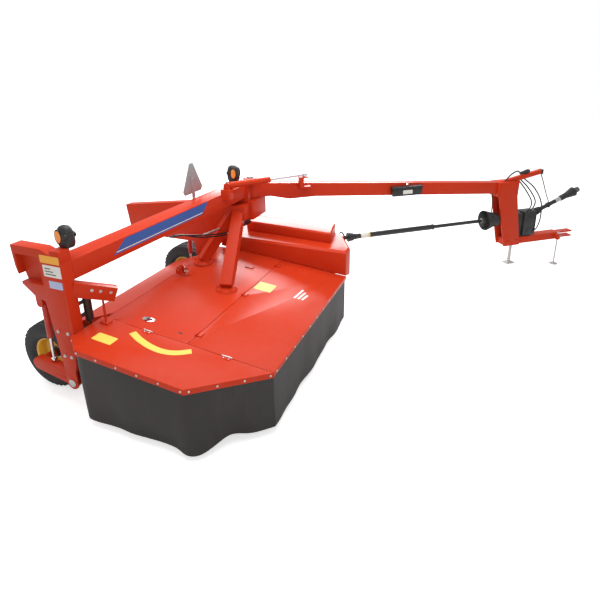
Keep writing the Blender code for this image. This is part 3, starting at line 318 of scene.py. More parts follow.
# colour, shade, dust, roughness, peel
for name, *values, bump in (
        ("redCasting", (0.52, 0.026, 0.012), (0.33, 0.018, 0.010), 0.22, 0.38, 1.0, 0.14),
        ("blackCoat", (0.018, 0.018, 0.019), (0.010, 0.010, 0.011), 0.10, 0.33, 0.8, 0.08),
        ("blackPlastic", (0.022, 0.022, 0.024), (0.014, 0.014, 0.015), 0.06, 0.42, 1.0, 0.10),
        ("yellowLabel", (0.93, 0.66, 0.10), (0.86, 0.56, 0.07), 0.05, 0.36, 0.2, 0.02),
        ("orangeLabel", (0.95, 0.42, 0.03), (0.85, 0.34, 0.02), 0.05, 0.36, 0.2, 0.02),
        ("whiteLabel", (0.80, 0.77, 0.70), (0.70, 0.66, 0.60), 0.08, 0.40, 0.2, 0.02),
        ("paleBlueLabel", (0.45, 0.50, 0.72), (0.36, 0.40, 0.62), 0.05, 0.36, 0.2, 0.02)):
    finish(name, "coat", values, bump)
finish("redCoat", "coat", ((0.60, 0.040, 0.010), (0.432, 0.0288, 0.0072), 0.04, 0.28, 0.5), 0.05,
       Specular_IOR_Level=0.14)
finish("yellowCoat", "coat", ((0.86, 0.50, 0.035), (0.70, 0.36, 0.02), 0.12, 0.32, 0.5), 0.05,
       Coat_Weight=0.2)
finish("blueStripe", "coat", ((0.012, 0.085, 0.38), (0.010, 0.06, 0.30), 0.05, 0.30, 0.2), 0.02,
       Coat_Weight=0.2)
finish("redLens", "coat", ((0.50, 0.010, 0.008), (0.35, 0.008, 0.006), 0.04, 0.12, 0.1), 0.02,
       Coat_Weight=1.0)
finish("amberLens", "coat", ((0.90, 0.27, 0.015), (0.75, 0.18, 0.01), 0.04, 0.12, 0.1), 0.02, Coat_Weight=1.0,
       Emission_Strength=0.12, Emission_Color=(1.0, 0.32, 0.03, 1))
# colour, scuff, its amount, grain, weave, roughness
finish("curtainRubber", "rubber", ((0.020, 0.016, 0.014), (0.070, 0.060, 0.052), 0.45, 240.0, 0.5, 0.52),
       0.10, 0.001)
finish("tyreRubber", "rubber", ((0.024, 0.024, 0.026), (0.10, 0.09, 0.08), 0.45, 130.0, 0.0, 0.68), 0.20)
finish("hoseRubber", "rubber", ((0.012, 0.012, 0.013), (0.05, 0.05, 0.05), 0.3, 400.0, 0.2, 0.40), 0.08)
# colour, stain, its amount, spangle, roughness
finish("chrome", "metal", ((0.80, 0.80, 0.80), (0.2, 0.17, 0.14), 0.05, 0.03, 0.10), 0.01, Metallic=1.0)
finish("zinc", "metal", ((0.62, 0.62, 0.60), (0.40, 0.37, 0.33), 0.25, 0.35, 0.34), 0.05, Metallic=0.85)
finish("darkSteel", "metal", ((0.20, 0.19, 0.18), (0.16, 0.09, 0.05), 0.5, 0.2, 0.42), 0.10, Metallic=0.8)
finish("greyPlate", "metal", ((0.42, 0.41, 0.42), (0.2, 0.17, 0.14), 0.10, 0.12, 0.45), 0.03, Metallic=0.6)
print("materials ready:", len(materials))


# mesh tools

def joinInto(target, part):
    mesh = bpy.data.meshes.new("scratch")
    part.to_mesh(mesh)
    part.free()
    target.from_mesh(mesh)
    bpy.data.meshes.remove(mesh)


def softEdges(bm, width, angle=28, shortest=4.0):
    bm.normal_update()
    sharp = [edge for edge in bm.edges if len(edge.link_faces) == 2
             and edge.calc_face_angle(0) > math.radians(angle) and edge.calc_length() > shortest * width]
    if sharp and width > 0:
        bmesh.ops.bevel(bm, geom=sharp, offset=width, offset_type="OFFSET", segments=2, profile=0.6,
                        affect="EDGES", clamp_overlap=True)


def ringFaces(bm, rings, closedEnds=True):
    count = len(rings[0])
    rows = [[bm.verts.new(point) for point in ring] for ring in rings]
    for first, second in zip(rows, rows[1:]):
        for index in range(count):
            after = (index + 1) % count
            bm.faces.new((first[index], first[after], second[after], second[index]))
    if closedEnds:
        bm.faces.new(list(reversed(rows[0])))
        bm.faces.new(rows[-1])


def addLoft(bm, rings, soft=0.0, angle=28):
    part = bmesh.new()
    ringFaces(part, rings)
    bmesh.ops.recalc_face_normals(part, faces=part.faces)
    softEdges(part, soft, angle)
    joinInto(bm, part)


def addBox(bm, low, high, soft=0.003):
    (x0, y0, z0), (x1, y1, z1) = low, high
    corners = [(x0, y0), (x1, y0), (x1, y1), (x0, y1)]
    addLoft(bm, [[(x, y, z) for x, y in corners] for z in (z0, z1)], soft)


def addPrism(bm, outline, axis, low, high, soft=0.003, angle=28):
    order = {"X": lambda a, b, c: (c, a, b), "Y": lambda a, b, c: (a, c, b), "Z": lambda a, b,
             c: (a, b, c)}[axis]
    addLoft(bm, [[order(a, b, depth) for a, b in outline] for depth in (low, high)], soft, angle)


def circlePoints(radius, sides, centre=(0, 0), start=0.0):
    return [(centre[0] + radius * math.cos(start + 2 * math.pi * k / sides),
             centre[1] + radius * math.sin(start + 2 * math.pi * k / sides)) for k in range(sides)]


def addRod(bm, start, end, profile, sides=24, soft=0.0):
    # profile: one radius, or a list of (share along, radius)
    start, end = Vector(start), Vector(end)
    turn = (end - start).to_track_quat("Z", "Y").to_matrix()
    stops = [(0, profile), (1, profile)] if isinstance(profile, (int, float)) else profile
    rings = [[start.lerp(end, share) + turn @ Vector((x, y, 0)) for x, y in circlePoints(radius, sides)]
             for share, radius in stops]
    addLoft(bm, rings, soft, 40)


def addTurned(bm, profile, centre, sides=64, axis="Y"):
    # a closed loop of (radius, along), revolved about the axis through centre
    rings = []
    for index in range(sides):
        angle = 2 * math.pi * index / sides
        c, s = math.cos(angle), math.sin(angle)
        rings.append([Vector(centre) + (Vector((r * c, a, r * s)) if axis == "Y" else Vector((r * c, r * s,
                                                                                              a)))
                      for r, a in profile])
    part = bmesh.new()
    rows = [[part.verts.new(point) for point in ring] for ring in rings]
    count = len(profile)
    for index in range(sides):
        first, second = rows[index], rows[(index + 1) % sides]
        for k in range(count):
            after = (k + 1) % count
            part.faces.new((first[k], first[after], second[after], second[k]))
    bmesh.ops.recalc_face_normals(part, faces=part.faces)
    joinInto(bm, part)


def addRing(bm, centre, axis, radius, tube, sides=40, section=10):
    # closed round ring about an axis
    turn = Vector(axis).to_track_quat("Z", "Y").to_matrix()
    part = bmesh.new()
    rows = [[part.verts.new(Vector(centre) + turn @ Vector((x * (radius + across), y * (radius + across),
                                                            up)))
             for across, up in circlePoints(tube, section)] for x, y in circlePoints(1, sides)]
    for k in range(sides):
        first, second = rows[k], rows[(k + 1) % sides]
        for m in range(section):
            n = (m + 1) % section
            part.faces.new((first[m], second[m], second[n], first[n]))
    bmesh.ops.recalc_face_normals(part, faces=part.faces)
    joinInto(bm, part)


def domed(radius, share, tip):
    # profile of a rod that narrows past a share of its length
    return [(0, radius), (share, radius), (1, tip)]


def collar(low, share, high, tip=None):
    # profile of a rod that is narrower at both ends
    return [(0, low), (share, high), (1 - share, high), (1, low if tip is None else tip)]


def smoothPath(points, steps=8):
    points = [Vector(point) for point in points]
    ends = [points[0] * 2 - points[1]] + points + [points[-1] * 2 - points[-2]]
    path = []
    for k in range(1, len(ends) - 2):
        a, b, c, d = ends[k - 1:k + 3]
        for step in range(steps):
            t = step / steps
            path.append(0.5 * ((2 * b) + (c - a) * t + (2 * a - 5 * b + 4 * c - d) * t * t
                               + (3 * b - a - 3 * c + d) * t ** 3))
    return path + [points[-1]]


def addTube(bm, points, radius, sides=12, steps=8):
    path = smoothPath(points, steps)
    rings = []
    side = None
    for index, point in enumerate(path):
        along = (path[min(index + 1, len(path) - 1)] - path[max(index - 1, 0)]).normalized()
        if side is None:
            side = along.orthogonal().normalized()
        side = (side - along * side.dot(along)).normalized()
        other = along.cross(side)
        rings.append([point + side * x + other * y for x, y in circlePoints(radius, sides)])
    addLoft(bm, rings)


def settle(name, bm, body, material, space=fieldSpace, sharp=32, replaces=()):
    bm.transform(space)
    mesh = bpy.data.meshes.new(name)
    bm.to_mesh(mesh)
    bm.free()
    return settleMesh(name, mesh, body, material, sharp, replaces)


def settleMesh(name, mesh, body, material, sharp=32, replaces=()):
    mesh.materials.clear()
    mesh.materials.append(materials[material])
    mesh.shade_smooth()
    mesh.set_sharp_from_angle(angle=math.radians(sharp))
    piece = bpy.data.objects.new(name, mesh)
    bpy.context.scene.collection.objects.link(piece)
    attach(piece, body)
    if replaces:
        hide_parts(*replaces)
    return piece


def build(name, body, material, *parts, space=fieldSpace, **options):
    # one piece of several parts, each given as its tool and that tool's values
    bm = bmesh.new()
    for tool, *values in parts:
        tool(bm, *values)
    return settle(name, bm, body, material, space, **options)


bodyOf = {node: body for body, members in frame["record"]["behaviour"]["bodies"].items() for node in members}


def dressNode(node, material, width=0.004):
    # the node with its edges rounded, in place of the sharp one
    bm = bmesh.new()
    bm.from_mesh(nodes[node].data)
    bmesh.ops.remove_doubles(bm, verts=bm.verts, dist=0.00005)
    bmesh.ops.dissolve_limit(bm, angle_limit=math.radians(1.0), verts=bm.verts, edges=bm.edges)
    softEdges(bm, width)
    return settle(node + "_dressed", bm, bodyOf[node], material, Matrix.Identity(4), 30, (node,))


# geometry node rows

def newRows(name, inputs, material):
    # a tree of instances on points, which ends with them made real and painted
    tree = bpy.data.node_groups.new(name, "GeometryNodeTree")
    for label, kind, value in inputs:
        socket = tree.interface.new_socket(label, in_out="INPUT", socket_type="NodeSocket" + kind)
        if value is not None:
            socket.default_value = value
    tree.interface.new_socket("Made", in_out="OUTPUT", socket_type="NodeSocketGeometry")
    start, end = tree.nodes.new("NodeGroupInput").outputs, tree.nodes.new("NodeGroupOutput")
    place = tree.nodes.new("GeometryNodeInstanceOnPoints")
    real = tree.nodes.new("GeometryNodeRealizeInstances")
    paint = addNode(tree, "GeometryNodeSetMaterial", {"Material": materials[material]})
    wire(tree, (real, "Geometry", paint, "Geometry"), (paint, "Geometry", end, "Made"))
    return tree, start, place, real


def runRows(tree, mesh, values):
    # the mesh that the tree makes from a path or from nothing
    carrier = bpy.data.objects.new("rowSeed", mesh)
    bpy.context.scene.collection.objects.link(carrier)
    modifier = carrier.modifiers.new("rows", "NODES")
    modifier.node_group = tree
    for item in tree.interface.items_tree:
        if item.name in values:
            modifier[item.identifier] = values[item.name]
    graph = bpy.context.evaluated_depsgraph_get()
    made = bpy.data.meshes.new_from_object(carrier.evaluated_get(graph), depsgraph=graph)
    bpy.data.objects.remove(carrier)
    return made


# sides, lower radius, upper radius, lift and depth of each cone in a head
headShapes = {
    "rivet": ((16, 1.0, 0.82, 0.0, 0.55), (16, 0.82, 0.35, 0.55, 0.45)),
    "bolt": ((16, 1.35, 1.35, 0.0, 0.22), (6, 1.0, 1.0, 0.22, 0.78)),
}


def headTree(name, material, shape):
    # heads set along a path, all facing one way
    tree, start, place, real = newRows(name, (
        ("Path", "Geometry", None), ("Spacing", "Float", 0.2), ("Head Radius", "Float", 0.009),
        ("Head Height", "Float", 0.005), ("Facing", "Vector", (0, 0, 1))), material)
    curve = tree.nodes.new("GeometryNodeMeshToCurve")
    points = addNode(tree, "GeometryNodeCurveToPoints", mode="LENGTH")
    aim = addNode(tree, "FunctionNodeAlignRotationToVector", axis="Z")
    scale, join = tree.nodes.new("ShaderNodeCombineXYZ"), tree.nodes.new("GeometryNodeJoinGeometry")
    for sides, lowRadius, highRadius, lift, depth in headShapes[shape]:
        cone = addNode(tree, "GeometryNodeMeshCone", {"Vertices": sides, "Radius Top": highRadius,
                                                      "Radius Bottom": lowRadius, "Depth": depth})
        move = addNode(tree, "GeometryNodeTransform", {"Translation": (0, 0, lift)})
        wire(tree, (cone, "Mesh", move, "Geometry"), (move, "Geometry", join, "Geometry"))
    wire(tree, (start["Path"], curve, "Mesh"), (curve, "Curve", points, "Curve"),
         (start["Spacing"], points, "Length"),
         (points, "Points", place, "Points"), (join, "Geometry", place, "Instance"),
         (start["Facing"], aim, "Vector"),
         (aim, "Rotation", place, "Rotation"), (start["Head Radius"], scale, "X"),
         (start["Head Radius"], scale, "Y"),
         (start["Head Height"], scale, "Z"), (scale, "Vector", place, "Scale"),
         (place, "Instances", real, "Geometry"))
    return tree


headTrees = {
    "zincRivet": (headTree("zincRivetRow", "zinc", "rivet"), "zinc"),
    "zincBolt": (headTree("zincBoltRow", "zinc", "bolt"), "zinc"),
    "redBolt": (headTree("redBoltRow", "redCoat", "bolt"), "redCoat"),
}
waitingHeads = {}


def headRow(kind, body, path, facing, spacing, radius=0.009, height=0.006, space=fieldSpace):
    # all rows of one kind on one body end in one mesh
    mesh = bpy.data.meshes.new("headPath")
    mesh.from_pydata([space @ Vector(point) for point in path], [(k, k + 1) for k in range(len(path) - 1)],
                     [])
    made = runRows(headTrees[kind][0], mesh, {"Spacing": spacing, "Head Radius": radius,
                                              "Head Height": height,
                                              "Facing": tuple(space.to_3x3() @ Vector(facing))})
    waitingHeads.setdefault((kind, body), []).append(made)


def headSpots(kind, body, spots, facing, radius=0.009, height=0.006, space=fieldSpace):
    # single heads, each on a very short path
    step = Vector(facing).orthogonal().normalized() * 0.001
    for spot in spots:
        headRow(kind, body, [Vector(spot), Vector(spot) + step], facing, 0.05, radius, height, space)


def settleHeads():
    for (kind, body), meshes in waitingHeads.items():
        bm = bmesh.new()
        for mesh in meshes:
            bm.from_mesh(mesh)
        bmesh.ops.remove_doubles(bm, verts=bm.verts, dist=0.00001)
        settle(f"{kind}_{body}", bm, body, headTrees[kind][1], Matrix.Identity(4))


print("tools ready")


# header panels

panel = {
    "rearX": 0.65, "seamX": 1.71, "rightY": -0.968, "leftY": 1.342, "foldX": 0.96, "foldDrop": 0.032,
    "sheet": 0.012, "rearLip": 0.045,
}


def makeRearPanel():
    # a fold runs along its rear, and the edge turns down
    bm = bmesh.new()
    stops = [(panel["rearX"] + 0.002, panel["foldDrop"] + panel["rearLip"]),
             (panel["rearX"] + 0.003, panel["foldDrop"] + 0.006),
             (panel["rearX"] + 0.010, panel["foldDrop"]), (panel["foldX"] - 0.012, 0.0015),
             (panel["foldX"] + 0.012, 0.0), (panel["seamX"] - 0.004, 0.0), (panel["seamX"] - 0.002, 0.003)]
    upper = [(x, deckZ(x) - drop) for x, drop in stops]
    lower = [(x + (0.008 if index < 2 else 0), z - (0 if index < 1 else panel["sheet"] - 0.003)) for index,
             (x, z) in enumerate(upper)]
    outline = upper + lower[::-1]
    addLoft(bm, [[(x, y, z) for x, z in outline] for y in (panel["rightY"], panel["leftY"])], 0.0)
    settle("rearDeckSkin", bm, "frame", "redCoat", sharp=40, replaces=("rear_deck_panel",))


bedded = -0.0006


def onDeck(a, b, lift):
    return (a, b, deckZ(a) + lift)


def addSlab(bm, outline, *lifts, place=onDeck):
    # layers of one outline, on the deck or on any face through place(a, b, lift)
    addLoft(bm, [[place(a, b, lift) for a, b in outline] for lift in lifts])


def sticker(name, body, material, outline, lift=0.0012, space=fieldSpace, place=onDeck):
    bm = bmesh.new()
    addSlab(bm, outline, bedded, lift, place=place)
    return settle(name, bm, body, material, space)


def oval(x, y, wide, tall, sides):
    return [(x + wide * a, y + tall * b) for a, b in circlePoints(1, sides)]


def roundedOutline(low, high, radius, steps=5):
    (x0, y0), (x1, y1) = low, high
    outline = []
    for cx, cy, start in ((x1 - radius, y1 - radius, 0), (x0 + radius, y1 - radius, 90),
                          (x0 + radius, y0 + radius, 180), (x1 - radius, y0 + radius, 270)):
        for k in range(steps + 1):
            a = math.radians(start + 90 * k / steps)
            outline.append((cx + radius * math.cos(a), cy + radius * math.sin(a)))
    return outline


labels = {
    "arc": ((1.119, -1.064), (1.26, -1.127), (1.423, -1.172), (1.577, -1.181), (1.704, -1.141),
            (1.82, -1.052)),
    "arcHalfWidth": 0.036,
    "capPlate": ((0.84, -1.335), (1.075, -1.215)), "frontPlate": ((1.74, 0.39), (1.97, 0.59)),
    "frontMark": ((2.27, 0.42), (2.42, 0.66)),
}


def makeDeckLabels():
    path = smoothPath([Vector((x, y, 0)) for x, y in labels["arc"]], 6)
    rings = []
    for k, point in enumerate(path):
        along = (path[min(k + 1, len(path) - 1)] - path[max(k - 1, 0)]).normalized()
        side = Vector((-along.y, along.x, 0)) * labels["arcHalfWidth"]
        left, right = point + side, point - side
        rings.append([onDeck(left.x, left.y, bedded), onDeck(right.x, right.y, bedded),
                      onDeck(right.x, right.y, 0.0012), onDeck(left.x, left.y, 0.0012)])
    build("angleScaleLabel", "frame", "yellowLabel", (addLoft, rings))
    sticker("capLabel", "frame", "yellowLabel", roundedOutline(*labels["capPlate"], 0.012))
    sticker("shieldLabel", "front_shield", "yellowLabel", roundedOutline(*labels["frontPlate"], 0.012))
    (x0, y0), (x1, y1) = labels["frontMark"]
    marks = []
    for k in range(3):
        a, far = x0 + (x1 - x0) * k / 3, y1 - 0.05 * k
        marks.append((addSlab, [(a, y0), (a + 0.028, y0), (a + 0.05, far), (a + 0.022, far)], bedded, 0.0011))
    build("shieldBlankMark", "front_shield", "whiteLabel", *marks)


latch = {"place": (1.105, -0.795), "size": (0.075, 0.042), "slot": (0.034, 0.014),
         "rearSlot": (1.54, -0.844, 0.030, 0.010)}
seam = {"y": -0.970, "hinges": (1.24, 2.17), "plate": 0.045, "rod": 0.055, "rivet": 0.028,
        "rearX": 1.714, "rearRods": ((-0.92, -0.40), (0.30, 0.95))}


def makeDeckFittings():
    x, y = latch["place"]
    wide, tall = latch["size"]
    rim, mouth = oval(x, y, wide, tall, 32), oval(x, y, wide * 0.78, tall * 0.70, 32)
    layers = ((rim, -0.001), (rim, 0.006), (mouth, 0.012))
    build("deckLatchCup", "frame", "chrome",
          (addLoft, [[onDeck(a, b, lift) for a, b in outline] for outline, lift in layers]))
    # the slots are not cut: flat black ovals on the cup and on the deck stand in for their dark insides,
    # painted shade
    build("deckSlotShade", "frame", "blackCoat", (addSlab, oval(x + 0.006, y, *latch["slot"], 24), 0.010, 0.0132),
          (addSlab, oval(*latch["rearSlot"], 24), bedded, 0.0012))
    plate, rod, y = seam["plate"], seam["rod"], seam["y"]
    build("capSeamHinges", "frame", "redCoat", *[
        (addSlab, roundedOutline((hx - plate, y - 0.040), (hx + plate, y - 0.002), 0.006), bedded, 0.004)
        for hx in seam["hinges"]])
    build("capSeamRods", "frame", "zinc", *[
        (addRod, (hx - rod, y, deckZ(hx) + 0.010), (hx + rod, y, deckZ(hx) - 0.0005), 0.008, 16, 0.0015)
        for hx in seam["hinges"]])
    for hx in seam["hinges"]:
        spots = [onDeck(hx + step, y - 0.023, 0.004) for step in (-seam["rivet"], seam["rivet"])]
        headSpots("zincRivet", "frame", spots, deckUp, 0.007, 0.004)
    build("seamRod", "frame", "redCasting", *[
        (addRod, onDeck(seam["rearX"], y0, 0.001), onDeck(seam["rearX"], y1, 0.001), 0.004, 10)
        for y0, y1 in seam["rearRods"]])


capEdge = [Vector((0.65, -1.40)), Vector((0.845, -1.55)), Vector((2.07, -1.55)), Vector((2.67, -0.972))]


def makeFlangeRivets():
    for (start, end), spacing, first in zip(zip(capEdge, capEdge[1:]), (0.20, 0.205, 0.205),
                                            (0.03, 0.02, 0.05)):
        along = (end - start).normalized()
        out = Vector((along.y, -along.x, 0))
        path = []
        for distance in (first, (end - start).length - 0.03):
            point = start + along * distance + out.to_2d() * 0.0002
            path.append((point.x, point.y, deckZ(point.x) - 0.030))
        headRow("zincRivet", "frame", path, out, spacing, 0.011, 0.006)
    headRow("zincRivet", "front_shield", [(2.670, -0.90, 0.692), (2.670, 1.27, 0.692)], (1, 0, 0), 0.217,
            0.011, 0.006)
    headRow("zincRivet", "frame", [(0.90, 2.0502, 0.93), (2.22, 2.0502, 0.93)], (0, 1, 0), 0.22, 0.011, 0.006)


# curtains

curtain = {"gap": 0.0165, "bottom": 0.085, "thickness": 0.004, "columnStep": 0.022, "rows": 30,
           "foldAt": 1.46, "hem": 0.0135}


def roundedPath(corners, radius):
    path = [corners[0]]
    for before, corner, after in zip(corners, corners[1:], corners[2:]):
        a = corner + (before - corner).normalized() * radius
        b = corner + (after - corner).normalized() * radius
        for k in range(7):
            t = k / 6
            path.append(a.lerp(corner, t).lerp(corner.lerp(b, t), t))
    path.append(corners[-1])
    return path


def evenly(path, step):
    lengths = [0.0]
    for a, b in zip(path, path[1:]):
        lengths.append(lengths[-1] + (b - a).length)
    count = max(2, round(lengths[-1] / step))
    points, k = [], 0
    for index in range(count + 1):
        target = lengths[-1] * index / count
        while k < len(path) - 2 and lengths[k + 1] < target:
            k += 1
        share = (target - lengths[k]) / max(lengths[k + 1] - lengths[k], 1e-9)
        points.append(path[k].lerp(path[k + 1], share))
    return points, lengths[-1]


def hangCurtain(name, body, path, top, bottomOf, bulge, node, side=1):
    # hung from its top edge; bulge(u, v) moves it outward and bottomOf(u) gives its lower edge
    points, length = evenly(path, curtain["columnStep"])
    outward = []
    for k in range(len(points)):
        along = (points[min(k + 1, len(points) - 1)] - points[max(k - 1, 0)]).normalized()
        outward.append(Vector((along.y, -along.x)) * side)
    rows = curtain["rows"]
    columns, area = [], 0.0
    for k, point in enumerate(points):
        u = length * k / (len(points) - 1)
        high, low = top(point.x), bottomOf(u)
        area += (high - low) * length / (len(points) - 1)
        places = [(row / rows, point + outward[k] * bulge(u, row / rows)) for row in range(rows + 1)]
        columns.append([Vector((place.x, place.y, high + (low - high) * v)) for v, place in places])
    half = curtain["thickness"] / 2
    bm = bmesh.new()
    outer, inner = [[[bm.verts.new(p + outward[k].to_3d() * shift) for p in column]
                     for k, column in enumerate(columns)] for shift in (half, -half)]
    last = len(columns) - 1
    for k in range(last):
        for row in range(rows):
            bm.faces.new((outer[k][row], outer[k + 1][row], outer[k + 1][row + 1], outer[k][row + 1]))
            bm.faces.new((inner[k][row], inner[k][row + 1], inner[k + 1][row + 1], inner[k + 1][row]))
        for row in (0, rows):
            bm.faces.new((outer[k][row], inner[k][row], inner[k + 1][row], outer[k + 1][row]))
    for k in (0, last):
        for row in range(rows):
            bm.faces.new((outer[k][row], outer[k][row + 1], inner[k][row + 1], inner[k][row]))
    bmesh.ops.recalc_face_normals(bm, faces=bm.faces)
    piece = settle(name, bm, body, "curtainRubber", sharp=60, replaces=(node,))
    widest = max(top(point.x) for point in points) - min(bottomOf(length * k / 50) for k in range(51))
    return length


def wave(u, speed, phase=0.0):
    return math.sin(u * speed + phase)


def mound(u, middle, width):
    return math.exp(-((u - middle) / width) ** 2)


def endBulge(u, v):
    fold = mound(u, curtain["foldAt"] + 0.10 * (v - 0.6), 0.10 + 0.05 * v)
    belly = 0.030 * math.sin(math.pi * min(1.0, v * 1.1)) * mound(u, 0.95, 0.45)
    ripple = v ** 1.6 * (0.012 * wave(u, 8.3, 0.8) + 0.008 * wave(u, 15.0, 2.1))
    second = v ** 1.4 * 0.030 * mound(u, 1.85, 0.12)
    tuck = -0.05 * v ** 2 * mound(u, 0.05, 0.12)
    small = 0.004 * v * noise.noise(Vector((u * 6, v * 3, 0.3)))
    return fold * 0.055 * v ** 1.5 + belly + 0.45 * ripple - 0.8 * second + tuck + small


def endBottom(u):
    lift = 0.060 * mound(u, 0, 0.10)
    sag = -0.022 * mound(u, 1.50, 0.13)
    rise = 0.028 * mound(u, 1.83, 0.13)
    return curtain["bottom"] + lift + sag + rise + 0.002 * wave(u, 11.0)


def frontBulge(u, v):
    ripple = 0.010 * wave(u, 7.1, 0.4) + 0.005 * wave(u, 13.7, 1.2)
    return v ** 1.5 * ripple + 0.003 * v * noise.noise(Vector((u * 5, v * 3, 4.1)))


def frontBottom(u):
    return curtain["bottom"] + 0.004 * wave(u, 9.0)


def leftBulge(u, v):
    return v ** 1.5 * (0.016 * wave(u, 6.4, 1.0) + 0.008 * wave(u, 12.1, 0.2)) - 0.012 * v


def makeCurtains():
    inset = []
    for index, corner in enumerate(capEdge):
        before = (corner - capEdge[index - 1]).normalized() if index else None
        after = (capEdge[index + 1] - corner).normalized() if index < 3 else None
        normals = [Vector((-d.y, d.x)) for d in (before, after) if d is not None]
        blend = sum(normals, Vector((0, 0))).normalized()
        inset.append(corner + blend * curtain["gap"] / max(blend.dot(normals[0]), 0.5))
    hangCurtain("endCurtain", "frame", roundedPath(inset, 0.05), lambda x: deckZ(x) - curtain["hem"],
                endBottom, endBulge, "end_curtain_right")
    front = [Vector((2.651, -0.955)), Vector((2.651, 1.315))]
    hangCurtain("frontCurtain", "front_shield", front, lambda x: deckZ(x) - curtain["hem"], frontBottom,
                frontBulge, "front_curtain")
    left = [Vector((2.28, 2.031)), Vector((0.83, 2.031))]
    hangCurtain("farCurtain", "frame", left, lambda x: 0.925, frontBottom, leftBulge, "end_curtain_left")


makeRearPanel()
makeDeckLabels()
makeDeckFittings()
makeFlangeRivets()
makeCurtains()
for node in ("end_cap_right", "front_shield"):
    dressNode(node, "redCoat", 0.0035)
for node in ("drive_hood_left", "drive_cover_left"):
    dressNode(node, "redCoat", 0.008)
print("header panels and curtains ready")


# wheels

wheel = {
    "radius": 0.3935, "treads": 36, "boltCircle": 0.073, "dish": 0.03, "rimHalf": 0.128,
    # profiles run as (radius, distance from the middle or the dish)
    "tyre": ((0.203, 0.118), (0.213, 0.133), (0.222, 0.138), (0.228, 0.136), (0.234, 0.141), (0.245, 0.152),
             (0.262, 0.161), (0.283, 0.1665), (0.303, 0.1695), (0.309, 0.1672), (0.316, 0.1672),
             (0.322, 0.1685), (0.338, 0.1655), (0.352, 0.1605), (0.366, 0.152), (0.376, 0.140),
             (0.3815, 0.122), (0.3835, 0.060), (0.384, 0.0)),
    "bead": ((0.203, -0.09), (0.203, 0.09)),
    "lip": ((0.2025, 0), (0.216, 0.004), (0.217, -0.004), (0.2025, -0.014), (0.199, -0.03), (0.186, -0.055)),
    "well": ((0.196, -0.006), (0.180, -0.058)),
    "disc": ((0.030, -0.007), (0.085, -0.007), (0.105, 0.016), (0.140, 0.020), (0.165, 0.004), (0.183, 0.0),
             (0.183, 0.008), (0.165, 0.012), (0.140, 0.028), (0.103, 0.024), (0.084, 0.002), (0.030, 0.002)),
    "hub": ((0.0296, -0.048), (0.052, -0.046), (0.058, -0.030), (0.060, -0.0075), (0.060, 0.0025),
            (0.054, 0.030), (0.046, 0.048), (0.0296, 0.050)),
    "cap": ((0.0001, 0.052), (0.040, 0.0515), (0.046, 0.058), (0.043, 0.072), (0.030, 0.080),
            (0.0001, 0.082)),
    # offset, length, width, twist and slant of each row of blocks
    "rows": ((0.0, 0.030, 0.052, 0.0, 0.0), (0.062, 0.040, 0.050, 0.09, 0.35),
             (-0.062, 0.040, 0.050, 0.09, -0.35), (0.120, 0.030, 0.036, 0.0, 0.15),
             (-0.120, 0.030, 0.036, 0.0, -0.15)),
}


def treadTree():
    # one block, copied round the wheel
    tree, start, place, real = newRows("treadRing", (
        ("Radius", "Float", 0.388), ("Block Length", "Float", 0.05), ("Block Width", "Float", 0.06),
        ("Block Height", "Float", 0.012), ("Row Offset", "Float", 0.06), ("Twist", "Float", 0.0),
        ("Slant", "Float", 0.3), ("Blocks", "Int", 36)), "tyreRubber")
    ring, block = tree.nodes.new("GeometryNodeMeshCircle"), tree.nodes.new("GeometryNodeMeshCube")
    size, shift, turn = [tree.nodes.new("ShaderNodeCombineXYZ") for _ in range(3)]
    position, move = tree.nodes.new("GeometryNodeInputPosition"), tree.nodes.new("GeometryNodeTransform")
    aim = addNode(tree, "FunctionNodeAlignRotationToVector", axis="X")
    spin = addNode(tree, "FunctionNodeRotateRotation", rotation_space="LOCAL")
    slant = addNode(tree, "FunctionNodeAxisAngleToRotation", {"Axis": (1, 0, 0)})
    wire(tree, (start["Blocks"], ring, "Vertices"), (start["Radius"], ring, "Radius"),
         (start["Block Height"], size, "X"),
         (start["Block Length"], size, "Y"), (start["Block Width"], size, "Z"),
         (size, "Vector", block, "Size"), (ring, "Mesh", place, "Points"), (block, "Mesh", place, "Instance"),
         (position, "Position", aim, "Vector"),
         (aim, "Rotation", spin, "Rotation"), (start["Slant"], slant, "Angle"),
         (slant, "Rotation", spin, "Rotate By"), (spin, "Rotation", place, "Rotation"),
         (place, "Instances", move, "Geometry"), (start["Row Offset"], shift, "Z"),
         (shift, "Vector", move, "Translation"), (start["Twist"], turn, "Z"),
         (turn, "Vector", move, "Rotation"), (move, "Geometry", real, "Geometry"))
    return tree


